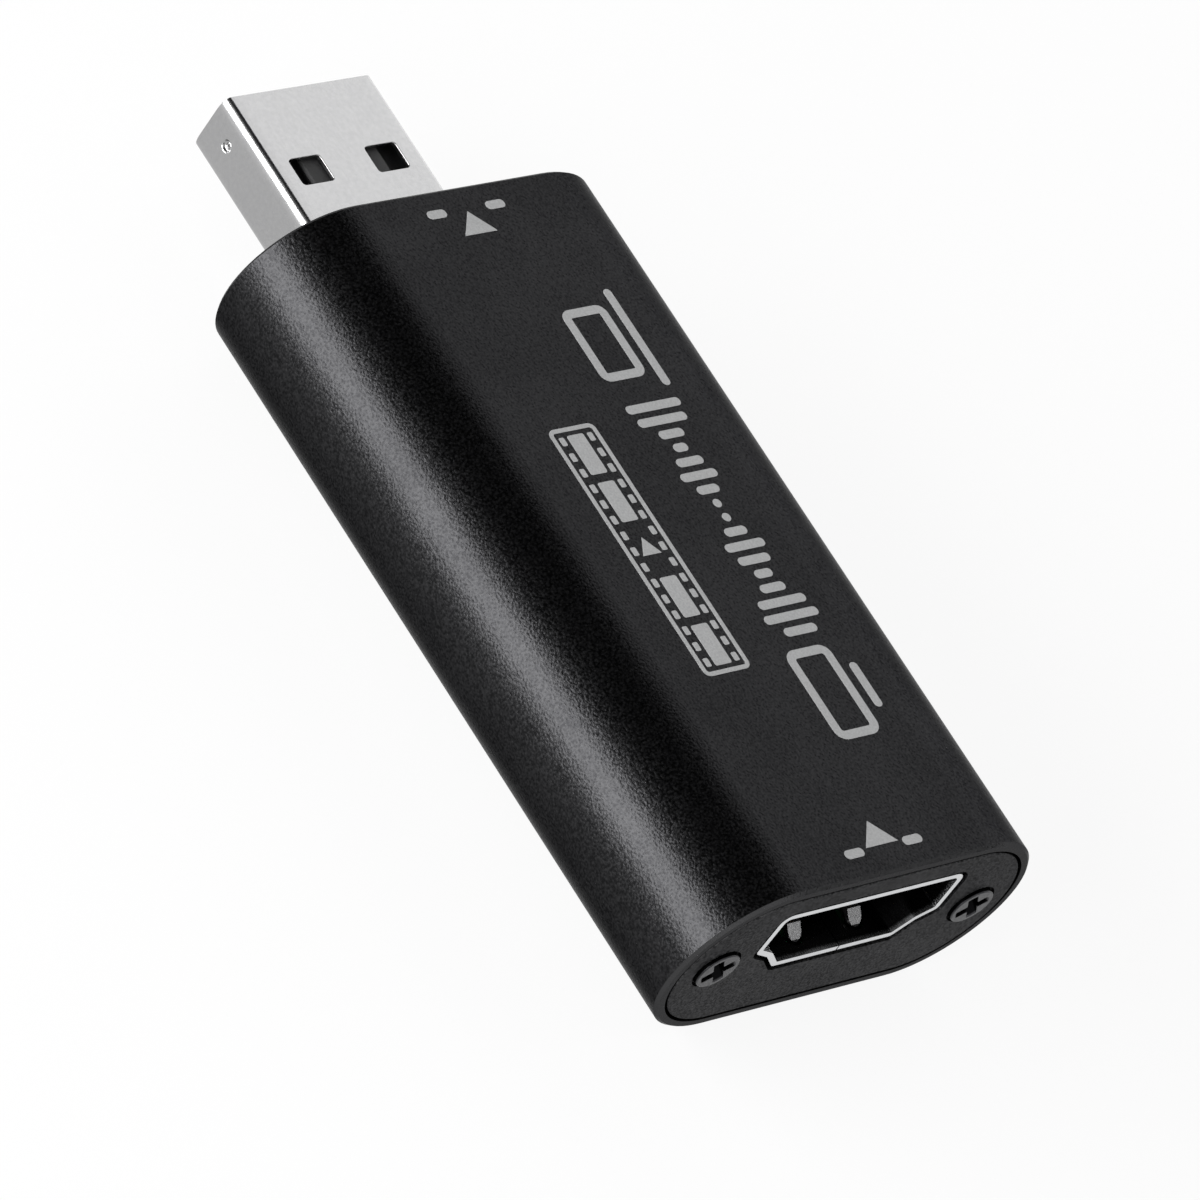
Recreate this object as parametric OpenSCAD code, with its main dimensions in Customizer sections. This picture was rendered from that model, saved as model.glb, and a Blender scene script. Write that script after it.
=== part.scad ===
// Video capture dongle: an extruded aluminium tube with a data plug at one end and a video socket at
// the other. Millimetres. +X points out of the video socket, +Z is up, and the origin lies on the
// underside of the tube, midway along it.

/* [Tube] */
// Length of the extruded tube
tube_l = 51.5; // [50:0.5:70]
// Width across the round sides
tube_w = 28; // [27.5:0.1:32]
// Height between the flat faces
tube_h = 13; // [12.8:0.1:15]
// Wall of the tube
tube_wall = 1.2; // [1:0.05:1.5]
// Wall left round the plate seat at each end
rim_wall = 0.65; // [0.5:0.05:0.7]
// Chamfer on the outer edge of each end
tube_edge = 0.2; // [0.1:0.05:0.3]

/* [End plates] */
// Thickness of a plate, and depth of the seat that takes it
plate_t = 1.2; // [1:0.1:1.6]
// Gap round a plate in its seat
plate_gap = 0.2; // [0.1:0.01:0.25]
// Chamfer on the edges of a plate
plate_edge = 0.05; // [0.03:0.01:0.1]

/* [Screws] */
// Distance of each screw from the middle of the tube
screw_y = 10.35; // [10.2:0.05:10.8]
// Diameter of the shank
screw_d = 2; // [1.6:0.1:2.2]
// Length from the face of the plate to the tip
screw_l = 5.5; // [4:0.5:8]
// Diameter of the head
screw_head_d = 2.95; // [2.8:0.05:3.4]
// Height of the head above the plate
screw_proud = 0.22; // [0.15:0.01:0.4]
// Depth of the straight side of the head below the face of the plate
screw_sink = 0.25; // [0.15:0.01:0.35]
// Width of the relief round the head
screw_relief = 0.18; // [0.1:0.01:0.25]
// Rounding of the rim of the head
screw_round = 0.1; // [0.06:0.01:0.15]
// Length of the cross in the head
cross_l = 2.45; // [2:0.05:2.5]
// Width of a slot of the cross
cross_w = 0.7; // [0.5:0.05:0.8]
// Diameter of the wider middle of the cross
cross_core = 1.3; // [1:0.05:1.5]
// Turn of the cross, in degrees
cross_turn = 30; // [0:1:90]
// Depth of the cross
cross_depth = 0.75; // [0.5:0.05:0.9]
// Gap between a screw and the countersink it sits in
screw_gap = 0.05; // [0.03:0.01:0.1]
// Gap between the shank and the threaded channel of the tube
thread_gap = 0.03; // [0.02:0.01:0.05]
// Diameter of the boss round each screw channel
boss_d = 3.2; // [3:0.1:3.4]

/* [Circuit board] */
// Depth of the board's upper face below the middle of the tube
board_drop = 1.7; // [1.65:0.05:1.9]
// Thickness of the board
board_t = 1.2; // [0.8:0.1:1.3]
// Width of the board
board_w = 22.4; // [21.8:0.1:22.6]
// Gap between the board and each end plate
board_end_gap = 0.3; // [0.2:0.05:0.6]
// Gap round the board in its slots
slot_gap = 0.1; // [0.05:0.01:0.15]
// How far the slots reach over the board
slot_grip = 0.9; // [0.6:0.1:1]
// Thickness of the rail under the board
rail_t = 0.9; // [0.7:0.1:1.1]

/* [Data plug] */
// Width of the shell
plug_w = 12; // [11.8:0.05:12.4]
// Height of the shell
plug_h = 4.5; // [4.4:0.05:4.7]
// Sheet thickness of the shell
plug_wall = 0.3; // [0.25:0.01:0.35]
// Outer radius of the shell's long edges
plug_edge_r = 0.65; // [0.5:0.05:0.8]
// How far the plug stands out of the tube
plug_out = 13; // [12:0.1:14]
// How far the shell reaches into the tube
plug_in = 6; // [5:0.1:7]
// Height of the plug's middle below the board's upper face
plug_sink = 0.05; // [0:0.01:0.2]
// Width of a latch window
window_w = 2.5; // [2:0.1:2.7]
// Length of a latch window
window_l = 2; // [1.6:0.1:2.3]
// Distance from the tip of the plug to a window
window_back = 5.15; // [4.8:0.05:5.5]
// Distance of each window's middle from the middle of the plug
window_y = 3.05; // [2.6:0.05:3.3]
// Corner radius of a window
window_r = 0.2; // [0.1:0.05:0.3]
// Diameter of the dimple in each side
dimple_d = 0.8; // [0.6:0.05:1]
// Depth of the dimple
dimple_depth = 0.12; // [0.05:0.01:0.15]
// Distance from the tip of the plug to the dimple
dimple_back = 2; // [1.5:0.1:2.5]
// Width of the seam under the plug
seam_w = 0.08; // [0.05:0.01:0.12]
// Thickness of the tongue
tongue_t = 1.85; // [1.7:0.05:1.95]
// Width of the ridge on top of the tongue, between the pockets for a port's latches
ridge_w = 6.3; // [6:0.1:6.6]
// Depth of the pockets beside the ridge
pocket_depth = 0.6; // [0.4:0.05:0.8]
// Width of the chamfer along the edges of the ridge
ridge_edge = 0.14; // [0.08:0.01:0.2]
// Height of that chamfer
ridge_drop = 0.19; // [0.1:0.01:0.25]
// Distance from the tip of the plug to the tongue
tongue_back = 0.4; // [0.2:0.05:0.6]
// Distance from the tip of the plug to the block that closes it
block_back = 10.2; // [9.5:0.1:11]
// Gap between an insulator and its shell
core_gap = 0.04; // [0.02:0.01:0.06]
// Distance of each inner blade from the middle of the plug
inner_blade_y = 1; // [0.9:0.05:1.1]
// Distance of each outer blade from the middle of the plug
outer_blade_y = 3.5; // [3.3:0.05:3.7]
// Width of a blade
blade_w = 1; // [0.8:0.05:1.1]
// Distance from the tip of the plug to the outer blades
outer_blade_back = 1.4; // [1:0.1:1.8]
// Distance from the tip of the plug to the inner blades
inner_blade_back = 2.4; // [2:0.1:2.8]
// Thickness of the sheet that all blades are cut from
blade_t = 0.15; // [0.12:0.01:0.2]
// How far a blade stands out of its groove
blade_proud = 0.05; // [0.02:0.01:0.08]
// Gap round a blade in its groove
blade_gap = 0.02; // [0.01:0.005:0.03]
// Length of a blade's foot on the board
foot_l = 1.2; // [0.8:0.1:1.5]
// Width of each solder ear of the shell
ear_w = 1.2; // [0.8:0.1:1.5]
// Length of each solder ear along the plug
ear_l = 2; // [1.5:0.1:2.5]
// Gap between the plug and the cuts that it passes through
plug_cut_gap = 0.2; // [0.1:0.05:0.3]

/* [Video socket] */
// Width of the shell at the top
socket_w = 14.8; // [14.6:0.05:15]
// Height of the shell
socket_h = 5.6; // [5.4:0.05:5.7]
// Sheet thickness of the shell
socket_wall = 0.4; // [0.3:0.01:0.42]
// Length of the shell
socket_l = 11.5; // [10.5:0.1:12.5]
// Width of the shell's underside
socket_foot_w = 9.7; // [9.4:0.05:10]
// Height where each side turns inward
shoulder_h = 2; // [1.9:0.05:2.3]
// Width across the kinks of the slanting sides
kink_w = 12.1; // [11.8:0.05:12.4]
// Height of the kinks of the slanting sides
kink_h = 1.3; // [1.1:0.05:1.4]
// Radius of the upper corners
socket_corner_r = 0.8; // [0.6:0.05:1]
// Radius of the bends of the slanting sides
socket_bend_r = 0.45; // [0.4:0.05:0.6]
// Distance of the shell's mouth behind the face of the plate
socket_recess = 0.08; // [0.02:0.01:0.2]
// Gap under the shell
socket_lift = 0.1; // [0.05:0.01:0.25]
// Gap between the shell and the cut in the plate
socket_cut_gap = 0.3; // [0.2:0.05:0.4]
// Width of the seam under the shell
socket_seam_w = 0.1; // [0.05:0.01:0.15]
// Distance of the seam from the middle
socket_seam_y = 0.4; // [0.2:0.05:0.6]
// Distance of each spring finger from the middle
finger_y = 2.45; // [2.2:0.05:2.7]
// Width of a spring finger
finger_w = 1.05; // [0.9:0.05:1.2]
// Distance from the mouth to the tip of a finger
finger_back = 0.95; // [0.8:0.05:1.2]
// Length of a finger
finger_l = 4.5; // [4:0.1:5]
// Height of a finger's crest inside the shell
finger_rise = 0.7; // [0.5:0.05:0.8]
// Distance from the tip of a finger to its crest
finger_crest = 0.9; // [0.8:0.05:1.2]
// Length of the flat on a finger's crest
finger_flat = 0.4; // [0.3:0.05:0.6]
// Width of the slot cut round a finger
finger_slot = 0.25; // [0.2:0.05:0.3]
// Width of the tongue
socket_tongue_w = 11.2; // [11:0.05:11.4]
// Thickness of the tongue
socket_tongue_t = 1.1; // [1:0.05:1.3]
// Distance from the mouth to the tongue
socket_tongue_back = 1.8; // [1.2:0.05:2.2]
// Distance from the mouth to the block that closes the shell
socket_block_back = 8; // [7.5:0.1:8.5]
// Spacing of the blades in a row
pin_pitch = 1; // [0.98:0.01:1.02]
// Width of a blade
pin_w = 0.4; // [0.3:0.02:0.44]
// Number of blades on top of the tongue
upper_pins = 10; // [8:1:10]
// Distance from the tip of the tongue to the blades
pin_back = 0.5; // [0.3:0.05:0.8]
// Distance from the back of the shell to the blades' tails
tail_gap = 0.25; // [0.15:0.05:0.4]
// Width of each leg of the shell
leg_w = 1.2; // [1:0.1:1.5]
// How far a leg stands out under the board
leg_out = 0.7; // [0.4:0.1:1]
// Distance from the mouth to the front legs
leg_front = 3.4; // [3.2:0.1:4]
// Distance between the front and rear legs
leg_pitch = 6; // [5.5:0.1:6.5]
// Gap round a leg in the board
leg_gap = 0.12; // [0.08:0.01:0.2]

/* [Chips] */
// Gap between the resistor row and the capture chip
chip_gap = 1.2; // [0.8:0.1:1.6]
// Side of the capture chip
chip_side = 7; // [6.5:0.1:7.5]
// Height of the capture chip over its lands
chip_h = 0.85; // [0.7:0.05:1]
// Number of lands on a side of the capture chip
chip_lands = 12; // [8:1:12]
// Spacing of the lands
land_pitch = 0.5; // [0.48:0.01:0.52]
// Length of a land
land_l = 0.5; // [0.4:0.05:0.6]
// Width of a land
land_w = 0.25; // [0.2:0.01:0.3]
// Height of a land
land_h = 0.05; // [0.03:0.01:0.08]
// Gap between the capture chip and the memory chip
memory_gap = 2.2; // [2:0.1:2.6]
// Distance of the memory chip from the middle
memory_y = 4; // [3.5:0.1:4.5]
// Length of the memory chip
memory_l = 4.9; // [4.5:0.1:5.2]
// Width of the memory chip
memory_w = 3.9; // [3.6:0.1:4.2]
// Height of the memory chip
memory_h = 1.45; // [1.2:0.05:1.6]
// Number of its leads on a side
memory_leads = 4; // [3:1:4]
// Spacing of its leads
memory_pitch = 1.27; // [1.2:0.01:1.3]
// Gap between the plug's feet and the regulators
regulator_gap = 1.2; // [0.8:0.1:1.6]
// Distance of each regulator from the middle
regulator_y = 5; // [4.5:0.1:5.5]
// Length of a regulator
regulator_l = 2.9; // [2.7:0.1:3.1]
// Width of a regulator
regulator_w = 1.6; // [1.4:0.1:1.8]
// Height of a regulator
regulator_h = 1.1; // [0.9:0.05:1.3]
// Number of its leads on a side
regulator_leads = 3; // [2:1:3]
// Spacing of its leads
regulator_pitch = 0.95; // [0.9:0.01:1]
// Reach of a chip lead out of its body
lead_out = 1; // [0.8:0.05:1.1]
// Width of a chip lead
lead_w = 0.4; // [0.3:0.02:0.5]
// Thickness of a chip lead
lead_t = 0.15; // [0.12:0.01:0.2]
// Gap under a chip body
chip_lift = 0.1; // [0.05:0.01:0.15]

/* [Small parts] */
// Distance of the crystal behind the middle of the capture chip
crystal_shift = 1; // [0:0.1:2]
// Gap between the bypass capacitors and the crystal
crystal_gap = 1; // [0.8:0.1:1.2]
// Length of the crystal
crystal_l = 3.2; // [3:0.1:3.4]
// Width of the crystal
crystal_w = 2.5; // [2.3:0.1:2.7]
// Height of the crystal's ceramic base
crystal_h = 0.55; // [0.4:0.05:0.7]
// Thickness of the crystal's lid
crystal_lid_t = 0.15; // [0.1:0.01:0.2]
// Margin of the base round the lid
crystal_margin = 0.25; // [0.15:0.05:0.35]
// Gap between the socket's feet and the surge arrays
surge_gap = 1.2; // [0.8:0.1:1.6]
// Distance of each surge array from the middle
surge_y = 2.2; // [1.8:0.1:2.6]
// Length of a surge array across the board
surge_l = 2.5; // [2.2:0.1:2.8]
// Width of a surge array
surge_w = 1; // [0.8:0.1:1.2]
// Height of a surge array
surge_h = 0.5; // [0.4:0.05:0.6]
// Gap between the plug's feet and the fuse
fuse_gap = 1.2; // [0.8:0.1:1.6]
// Length of the fuse and of each bulk capacitor
bulk_l = 3.2; // [3:0.1:3.4]
// Width of the fuse and of each bulk capacitor
bulk_w = 1.6; // [1.4:0.1:1.8]
// Height of a bulk capacitor
bulk_h = 1.6; // [1.2:0.1:1.8]
// Height of the fuse
fuse_h = 0.7; // [0.5:0.05:0.9]
// Number of bulk capacitors, in line with the memory chip
bulk_count = 2; // [1:1:2]
// Distance of the first bulk capacitor from the middle
bulk_y = 2.5; // [2.2:0.1:2.8]
// Spacing of the bulk capacitors
bulk_pitch = 2.4; // [2.2:0.1:2.6]
// Length of a small capacitor or resistor
small_l = 1; // [0.9:0.05:1.1]
// Width of a small capacitor or resistor
small_w = 0.5; // [0.4:0.05:0.6]
// Height of a small capacitor
small_h = 0.5; // [0.4:0.05:0.6]
// Height of a resistor
resistor_h = 0.35; // [0.3:0.05:0.4]
// Share of a small part's length that each metal end takes
end_share = 0.22; // [0.18:0.01:0.26]
// Distance of the bypass capacitors from the capture chip
bypass_gap = 0.7; // [0.6:0.05:0.9]
// Number of bypass capacitors on a side of the chip
bypass_count = 3; // [2:1:3]
// Spacing of the bypass capacitors
bypass_pitch = 2; // [1.8:0.1:2.2]
// Gap between the surge arrays and the resistor row
row_gap = 0.8; // [0.6:0.1:1.2]
// Number of resistors in the row
row_count = 8; // [4:1:10]
// Spacing of the resistors
row_pitch = 0.9; // [0.8:0.05:1]

/* [Hidden] */
$fn = 64;
cut = 0.5;
arc_steps = 5;

mid_z = tube_h / 2;
front_x = tube_l / 2;
rear_x = -tube_l / 2;
board_l = tube_l - 2 * (plate_t + board_end_gap);
board_top = mid_z - board_drop;
board_under = board_top - board_t;

plug_tip_x = rear_x - plug_out;
plug_end_x = rear_x + plug_in;
plug_z = board_top - plug_sink;
plug_step_x = plug_end_x + plug_cut_gap;
plug_foot_x = plug_step_x + foot_l;
plug_inner_w = plug_w - 2 * plug_wall;
plug_inner_h = plug_h - 2 * plug_wall;
plug_inner_r = plug_edge_r - plug_wall;
tongue_top = plug_z + plug_h / 2 - plug_wall - core_gap;
tongue_low = tongue_top - tongue_t;
blade_z = tongue_low - blade_proud;

mouth_x = front_x - socket_recess;
socket_back_x = mouth_x - socket_l;
tail_x = socket_back_x - tail_gap;
socket_foot_x = tail_x - foot_l;
socket_z = board_top + socket_lift;
pin_mid_z = socket_z + socket_h / 2;
upper_pin_z = pin_mid_z + socket_tongue_t / 2 + blade_proud - blade_t;
lower_pin_z = pin_mid_z - socket_tongue_t / 2 - blade_proud;
lower_pins = upper_pins - 1;

surge_x = socket_foot_x - surge_gap - surge_w / 2;
row_x = surge_x - surge_w / 2 - row_gap - small_l / 2;
chip_x = row_x - small_l / 2 - chip_gap - chip_side / 2;
memory_x = chip_x - chip_side / 2 - memory_gap - memory_l / 2;
crystal_x = chip_x - crystal_shift;
crystal_y = chip_side / 2 + bypass_gap + small_w + crystal_gap + crystal_w / 2;
regulator_x = plug_foot_x + regulator_gap + regulator_l / 2;
fuse_x = plug_foot_x + fuse_gap + bulk_l / 2;

// Corners of the socket outline, anticlockwise from the lower right, with the radius of each
socket_right = [
  [socket_foot_w / 2, 0, socket_bend_r],
  [kink_w / 2, kink_h, socket_bend_r],
  [socket_w / 2, shoulder_h, socket_bend_r],
  [socket_w / 2, socket_h, socket_corner_r],
];
socket_left = [
  for (i = [len(socket_right) - 1:-1:0])
    let (corner = socket_right[i])
    [-corner[0], corner[1], corner[2]]
];
socket_corners = concat(socket_right, socket_left);

// Unit vector along v
function unit(v) = v / norm(v);

// Outline through corners [y, z, radius], grown outward by g, with an arc at each corner
function rounded_outline(corners, g) =
  let (n = len(corners))
  [
    for (i = [0:n - 1])
      each corner_arc(corners[(i + n - 1) % n], corners[i], corners[(i + 1) % n], g)
  ];

// Arc at corner b between its neighbours a and c: the corner moves along its mitre by the growth g,
// and its radius grows with g on a left turn and shrinks on a right turn
function corner_arc(a, b, c, g) =
  let (
    p = [b[0], b[1]],
    d0 = unit(p - [a[0], a[1]]),
    d1 = unit([c[0], c[1]] - p),
    n0 = [d0[1], -d0[0]],
    n1 = [d1[1], -d1[0]],
    q = p + g * (n0 + n1) / (1 + n0 * n1),
    turn = atan2(cross(d0, d1), d0 * d1),
    side = sign(turn),
    r = max(b[2] + side * g, socket_wall / 4),
    start = q - d0 * r * tan(abs(turn) / 2),
    centre = start + side * r * [-d0[1], d0[0]],
    v = start - centre
  )
  [for (k = [0:arc_steps])
    let (t = turn * k / arc_steps)
    centre + [v[0] * cos(t) - v[1] * sin(t), v[0] * sin(t) + v[1] * cos(t)]];

// Section in Y and Z carried along X from x0 to x1
module along_x(x0, x1) {
  translate([x0, 0, 0]) rotate([90, 0, 90]) linear_extrude(x1 - x0) children();
}

// Section in X and Z carried along Y, centred
module along_y(w) {
  rotate([90, 0, 0]) linear_extrude(w, center = true) children();
}

// Box from its lowest to its highest corner
module block(low, high) {
  translate(low) cube(high - low);
}

// Box centred in X and Y that stands on z
module pad(x, y, z, size) {
  translate([x - size[0] / 2, y - size[1] / 2, z]) cube(size);
}

// Oblong with two round ends
module stadium(w, h) {
  square([w - h, h], center = true);
  for (s = [-1, 1]) translate([s * (w - h) / 2, 0]) circle(d = h);
}

// Rectangle with round corners
module rounded_rect(w, h, r) {
  square([w - 2 * r, h], center = true);
  square([w, h - 2 * r], center = true);
  for (s = [-1, 1], t = [-1, 1]) translate([s * (w / 2 - r), t * (h / 2 - r)]) circle(r);
}

// Oblong bar along X with both ends chamfered: a slab between two round bars
module stadium_bar(x0, x1, w, h, c) {
  r = h / 2;
  upper = [[x1, r - c], [x1 - c, r], [x0 + c, r], [x0, r - c]];
  lower = [[x0, c - r], [x0 + c, -r], [x1 - c, -r], [x1, c - r]];
  along_y(w - h) polygon(concat(upper, lower));
  for (s = [-1, 1]) translate([0, s * (w - h) / 2, 0]) rotate([0, 90, 0]) rotate_extrude()
    polygon([[0, x0], [r - c, x0], [r, x0 + c], [r, x1 - c], [r - c, x1], [0, x1]]);
}

// Section of the extrusion: skin, screw bosses and board slots
module tube_section() {
  difference() {
    union() {
      difference() {
        stadium(tube_w, tube_h);
        stadium(tube_w - 2 * tube_wall, tube_h - 2 * tube_wall);
      }
      intersection() {
        stadium(tube_w - tube_wall, tube_h - tube_wall);
        for (s = [0, 1]) mirror([s, 0]) guide_section();
      }
    }
    translate([0, -board_drop - board_t / 2])
      square([board_w + 2 * slot_gap, board_t + 2 * slot_gap], center = true);
    for (s = [-1, 1]) translate([s * screw_y, 0]) circle(d = screw_d + 2 * thread_gap);
  }
}

// Boss and rail on one side, joined to the wall
module guide_section() {
  rail_y = board_w / 2 - slot_grip;
  rail_low = -board_drop - board_t - slot_gap - rail_t;
  translate([screw_y, 0]) circle(d = boss_d);
  translate([screw_y, -boss_d / 2]) square([tube_w / 2 - screw_y, boss_d]);
  translate([rail_y, rail_low]) square([tube_w / 2 - rail_y, -rail_low]);
}

module tube_body() {
  color("#1b1b1d") translate([0, 0, mid_z]) difference() {
    intersection() {
      stadium_bar(rear_x, front_x, tube_w, tube_h, tube_edge);
      along_x(rear_x, front_x) tube_section();
    }
    plate_seat(front_x - plate_t, front_x + cut);
    plate_seat(rear_x - cut, rear_x + plate_t);
  }
}

module plate_seat(x0, x1) {
  along_x(x0, x1) stadium(tube_w - 2 * rim_wall, tube_h - 2 * rim_wall);
}

// Plate between x0 and x1, without its openings
module plate_blank(x0, x1) {
  margin = 2 * (rim_wall + plate_gap);
  translate([0, 0, mid_z]) stadium_bar(x0, x1, tube_w - margin, tube_h - margin, plate_edge);
}

// Screw with its axis along +Z, the face of the plate at z = 0 and every surface grown by g
module screw_form(g) {
  head_r = screw_head_d / 2 + g;
  shank_r = screw_d / 2 + g;
  cone_low = shank_r - head_r - screw_sink;
  top = screw_proud + g;
  rim = [
    for (t = [0:90 / arc_steps:90])
      [head_r - screw_round * (1 - cos(t)), top - screw_round * (1 - sin(t))]
  ];
  rotate_extrude() polygon(concat(
    [[0, -screw_l - g], [shank_r, -screw_l - g], [shank_r, cone_low], [head_r, -screw_sink]],
    rim, [[0, top]]));
}

// Hole for a screw, with a relief that leaves a dark ring round the head
module screw_hole() {
  screw_form(screw_gap);
  translate([0, 0, -screw_sink]) cylinder(h = screw_sink + cut, d = screw_head_d + 2 * screw_relief);
}

// Cross-recess screw
module screw() {
  difference() {
    screw_form(0);
    translate([0, 0, screw_proud - cross_depth]) rotate(cross_turn) cross_recess();
  }
}

// Recess of the cross, narrowing towards its floor at z = 0
module cross_recess() {
  tall = cross_depth + cut;
  cylinder(h = tall, d1 = cross_w, d2 = cross_core);
  intersection() {
    for (a = [0, 90]) rotate(a) pad(0, 0, 0, [cross_l, cross_w, tall]);
    cylinder(h = tall, d1 = cross_w, d2 = cross_l + 2 * cut);
  }
}

// Places of the two screws of one end, with their axes out of the plate
module at_screws(x, way) {
  for (s = [-1, 1]) translate([x, s * screw_y, mid_z]) rotate([0, way * 90, 0]) children();
}

module front_plate() {
  color("#2a2a2c") difference() {
    plate_blank(front_x - plate_t, front_x);
    translate([0, 0, socket_z]) along_x(front_x - plate_t - cut, front_x + cut)
      polygon(rounded_outline(socket_corners, socket_cut_gap));
    at_screws(front_x, 1) screw_hole();
  }
}

module rear_plate() {
  color("#2a2a2c") difference() {
    plate_blank(rear_x, rear_x + plate_t);
    translate([0, 0, plug_z]) along_x(rear_x - cut, rear_x + plate_t + cut)
      rounded_rect(plug_w + 2 * plug_cut_gap, plug_h + 2 * plug_cut_gap, plug_edge_r + plug_cut_gap);
    at_screws(rear_x, -1) screw_hole();
  }
}

module front_screws() {
  color("#151516") at_screws(front_x, 1) screw();
}

module rear_screws() {
  color("#151516") at_screws(rear_x, -1) screw();
}

module circuit_board() {
  notch_y = plug_w / 2 + plug_cut_gap;
  leg_hole = [leg_w + 2 * leg_gap, socket_wall + 2 * leg_gap, board_t + 2 * cut];
  color("#1d5c38") difference() {
    pad(0, 0, board_under, [board_l, board_w, board_t]);
    block([rear_x, -notch_y, board_under - cut], [plug_step_x, notch_y, board_top + cut]);
    at_legs() pad(0, 0, board_under - cut, leg_hole);
  }
}

module plug_section() {
  difference() {
    rounded_rect(plug_w, plug_h, plug_edge_r);
    rounded_rect(plug_inner_w, plug_inner_h, plug_inner_r);
    translate([-seam_w / 2, -plug_h / 2 - cut]) square([seam_w, plug_wall + 2 * cut]);
  }
}

module plug_shell() {
  window_x = plug_tip_x + window_back + window_l / 2;
  ear_low = [plug_end_x - ear_l, (plug_w - plug_wall) / 2, board_top];
  ear_high = [plug_end_x, plug_w / 2 + plug_cut_gap + ear_w, board_top + plug_wall];
  color("#c9cacc") {
    translate([0, 0, plug_z]) difference() {
      along_x(plug_tip_x, plug_end_x) plug_section();
      for (s = [-1, 1]) translate([window_x, s * window_y, -plug_h])
        linear_extrude(2 * plug_h) rounded_rect(window_l, window_w, window_r);
      for (s = [-1, 1]) translate([plug_tip_x + dimple_back, s * plug_w / 2, 0])
        rotate([s * 90, 0, 0]) translate([0, 0, -cut])
          cylinder(h = cut + dimple_depth, d = dimple_d);
    }
    for (s = [0, 1]) mirror([0, s, 0]) block(ear_low, ear_high);
  }
}

// Distance of each of the four blades from the middle and from the tip of the plug
plug_blades = [
  [-outer_blade_y, outer_blade_back], [-inner_blade_y, inner_blade_back],
  [inner_blade_y, inner_blade_back], [outer_blade_y, outer_blade_back],
];

// Plug blade at y: it lies under the tongue, then steps over to the board
module plug_blade(y, back, g) {
  tip_x = plug_tip_x + back;
  riser_x = plug_end_x - 2 * blade_t;
  side_y = blade_w / 2 + g;
  low_z = min(blade_z, board_top) - g;
  top_z = max(blade_z, board_top) + blade_t + g;
  translate([0, y, 0]) {
    block([tip_x - g, -side_y, blade_z - g], [riser_x + blade_t, side_y, blade_z + blade_t + g]);
    block([riser_x - g, -side_y, low_z], [riser_x + blade_t + g, side_y, top_z]);
    block([riser_x, -side_y, board_top - g], [plug_foot_x, side_y, board_top + blade_t + g]);
  }
}

module plug_tongue() {
  inner_w = plug_inner_w - 2 * core_gap;
  inner_h = plug_inner_h - 2 * core_gap;
  side = ridge_w / 2;
  top = tongue_top + cut;
  floor_z = tongue_top - pocket_depth;
  slope = [[side - ridge_edge * (1 + cut / ridge_drop), top], [side, tongue_top - ridge_drop]];
  color("#17181a") difference() {
    translate([0, 0, plug_z]) union() {
      along_x(plug_tip_x + block_back, plug_end_x) rounded_rect(inner_w, inner_h, plug_inner_r);
      intersection() {
        along_x(plug_tip_x + tongue_back, plug_end_x) rounded_rect(inner_w, inner_h, plug_inner_r);
        block([plug_tip_x, -plug_w, tongue_low - plug_z], [plug_end_x, plug_w, plug_h]);
      }
    }
    for (s = [0, 1]) mirror([0, s, 0]) along_x(plug_tip_x, plug_tip_x + block_back)
      polygon(concat(slope, [[side, floor_z], [plug_w, floor_z], [plug_w, top]]));
    for (b = plug_blades) plug_blade(b[0], b[1], blade_gap);
  }
}

module plug_contacts() {
  color("#c9a24a") for (b = plug_blades) plug_blade(b[0], b[1], 0);
}

// Places of the four legs of the socket shell, on the axis of each
module at_legs() {
  for (i = [0, 1], s = [-1, 1])
    translate([mouth_x - leg_front - i * leg_pitch, s * (socket_w - socket_wall) / 2, 0]) children();
}

// Plan of a spring finger with a round tip, grown by g
module finger_plan(g) {
  r = finger_w / 2 + g;
  tip_x = mouth_x - finger_back - finger_w / 2;
  for (s = [-1, 1]) translate([0, s * finger_y]) {
    translate([tip_x, 0]) circle(r);
    translate([mouth_x - finger_back - finger_l, -r]) square([finger_l - finger_w / 2, 2 * r]);
  }
}

// Side view of a finger: it leaves the sheet at its root, rises to a flat crest and dips to its tip
module finger_side() {
  tip_x = mouth_x - finger_back;
  crest_x = tip_x - finger_crest;
  root_x = tip_x - finger_l;
  line = [[root_x, 0], [crest_x - finger_flat, finger_rise], [crest_x, finger_rise], [tip_x, 0]];
  polygon([
    for (p = line) p,
    for (i = [len(line) - 1:-1:0]) line[i] + [0, socket_wall],
  ]);
}

module socket_shell() {
  leg_low = -socket_lift - board_t - leg_out;
  color("#c4c5c8") translate([0, 0, socket_z]) {
    difference() {
      along_x(socket_back_x, mouth_x) socket_section();
      for (z = [0, socket_h - socket_wall]) translate([0, 0, z - cut])
        linear_extrude(socket_wall + 2 * cut) finger_plan(finger_slot);
    }
    finger_pair();
    translate([0, 0, socket_h]) mirror([0, 0, 1]) finger_pair();
    at_legs() pad(0, 0, leg_low, [leg_w, socket_wall, shoulder_h + leg_w - leg_low]);
  }
}

// Folded sheet of the socket, open at its seam
module socket_section() {
  difference() {
    polygon(rounded_outline(socket_corners, 0));
    polygon(rounded_outline(socket_corners, -socket_wall));
    translate([socket_seam_y, 0]) square([socket_seam_w, 2 * socket_wall + cut], center = true);
  }
}

module finger_pair() {
  intersection() {
    along_y(socket_w) finger_side();
    translate([0, 0, -cut]) linear_extrude(socket_wall + finger_rise + 2 * cut) finger_plan(0);
  }
}

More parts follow.
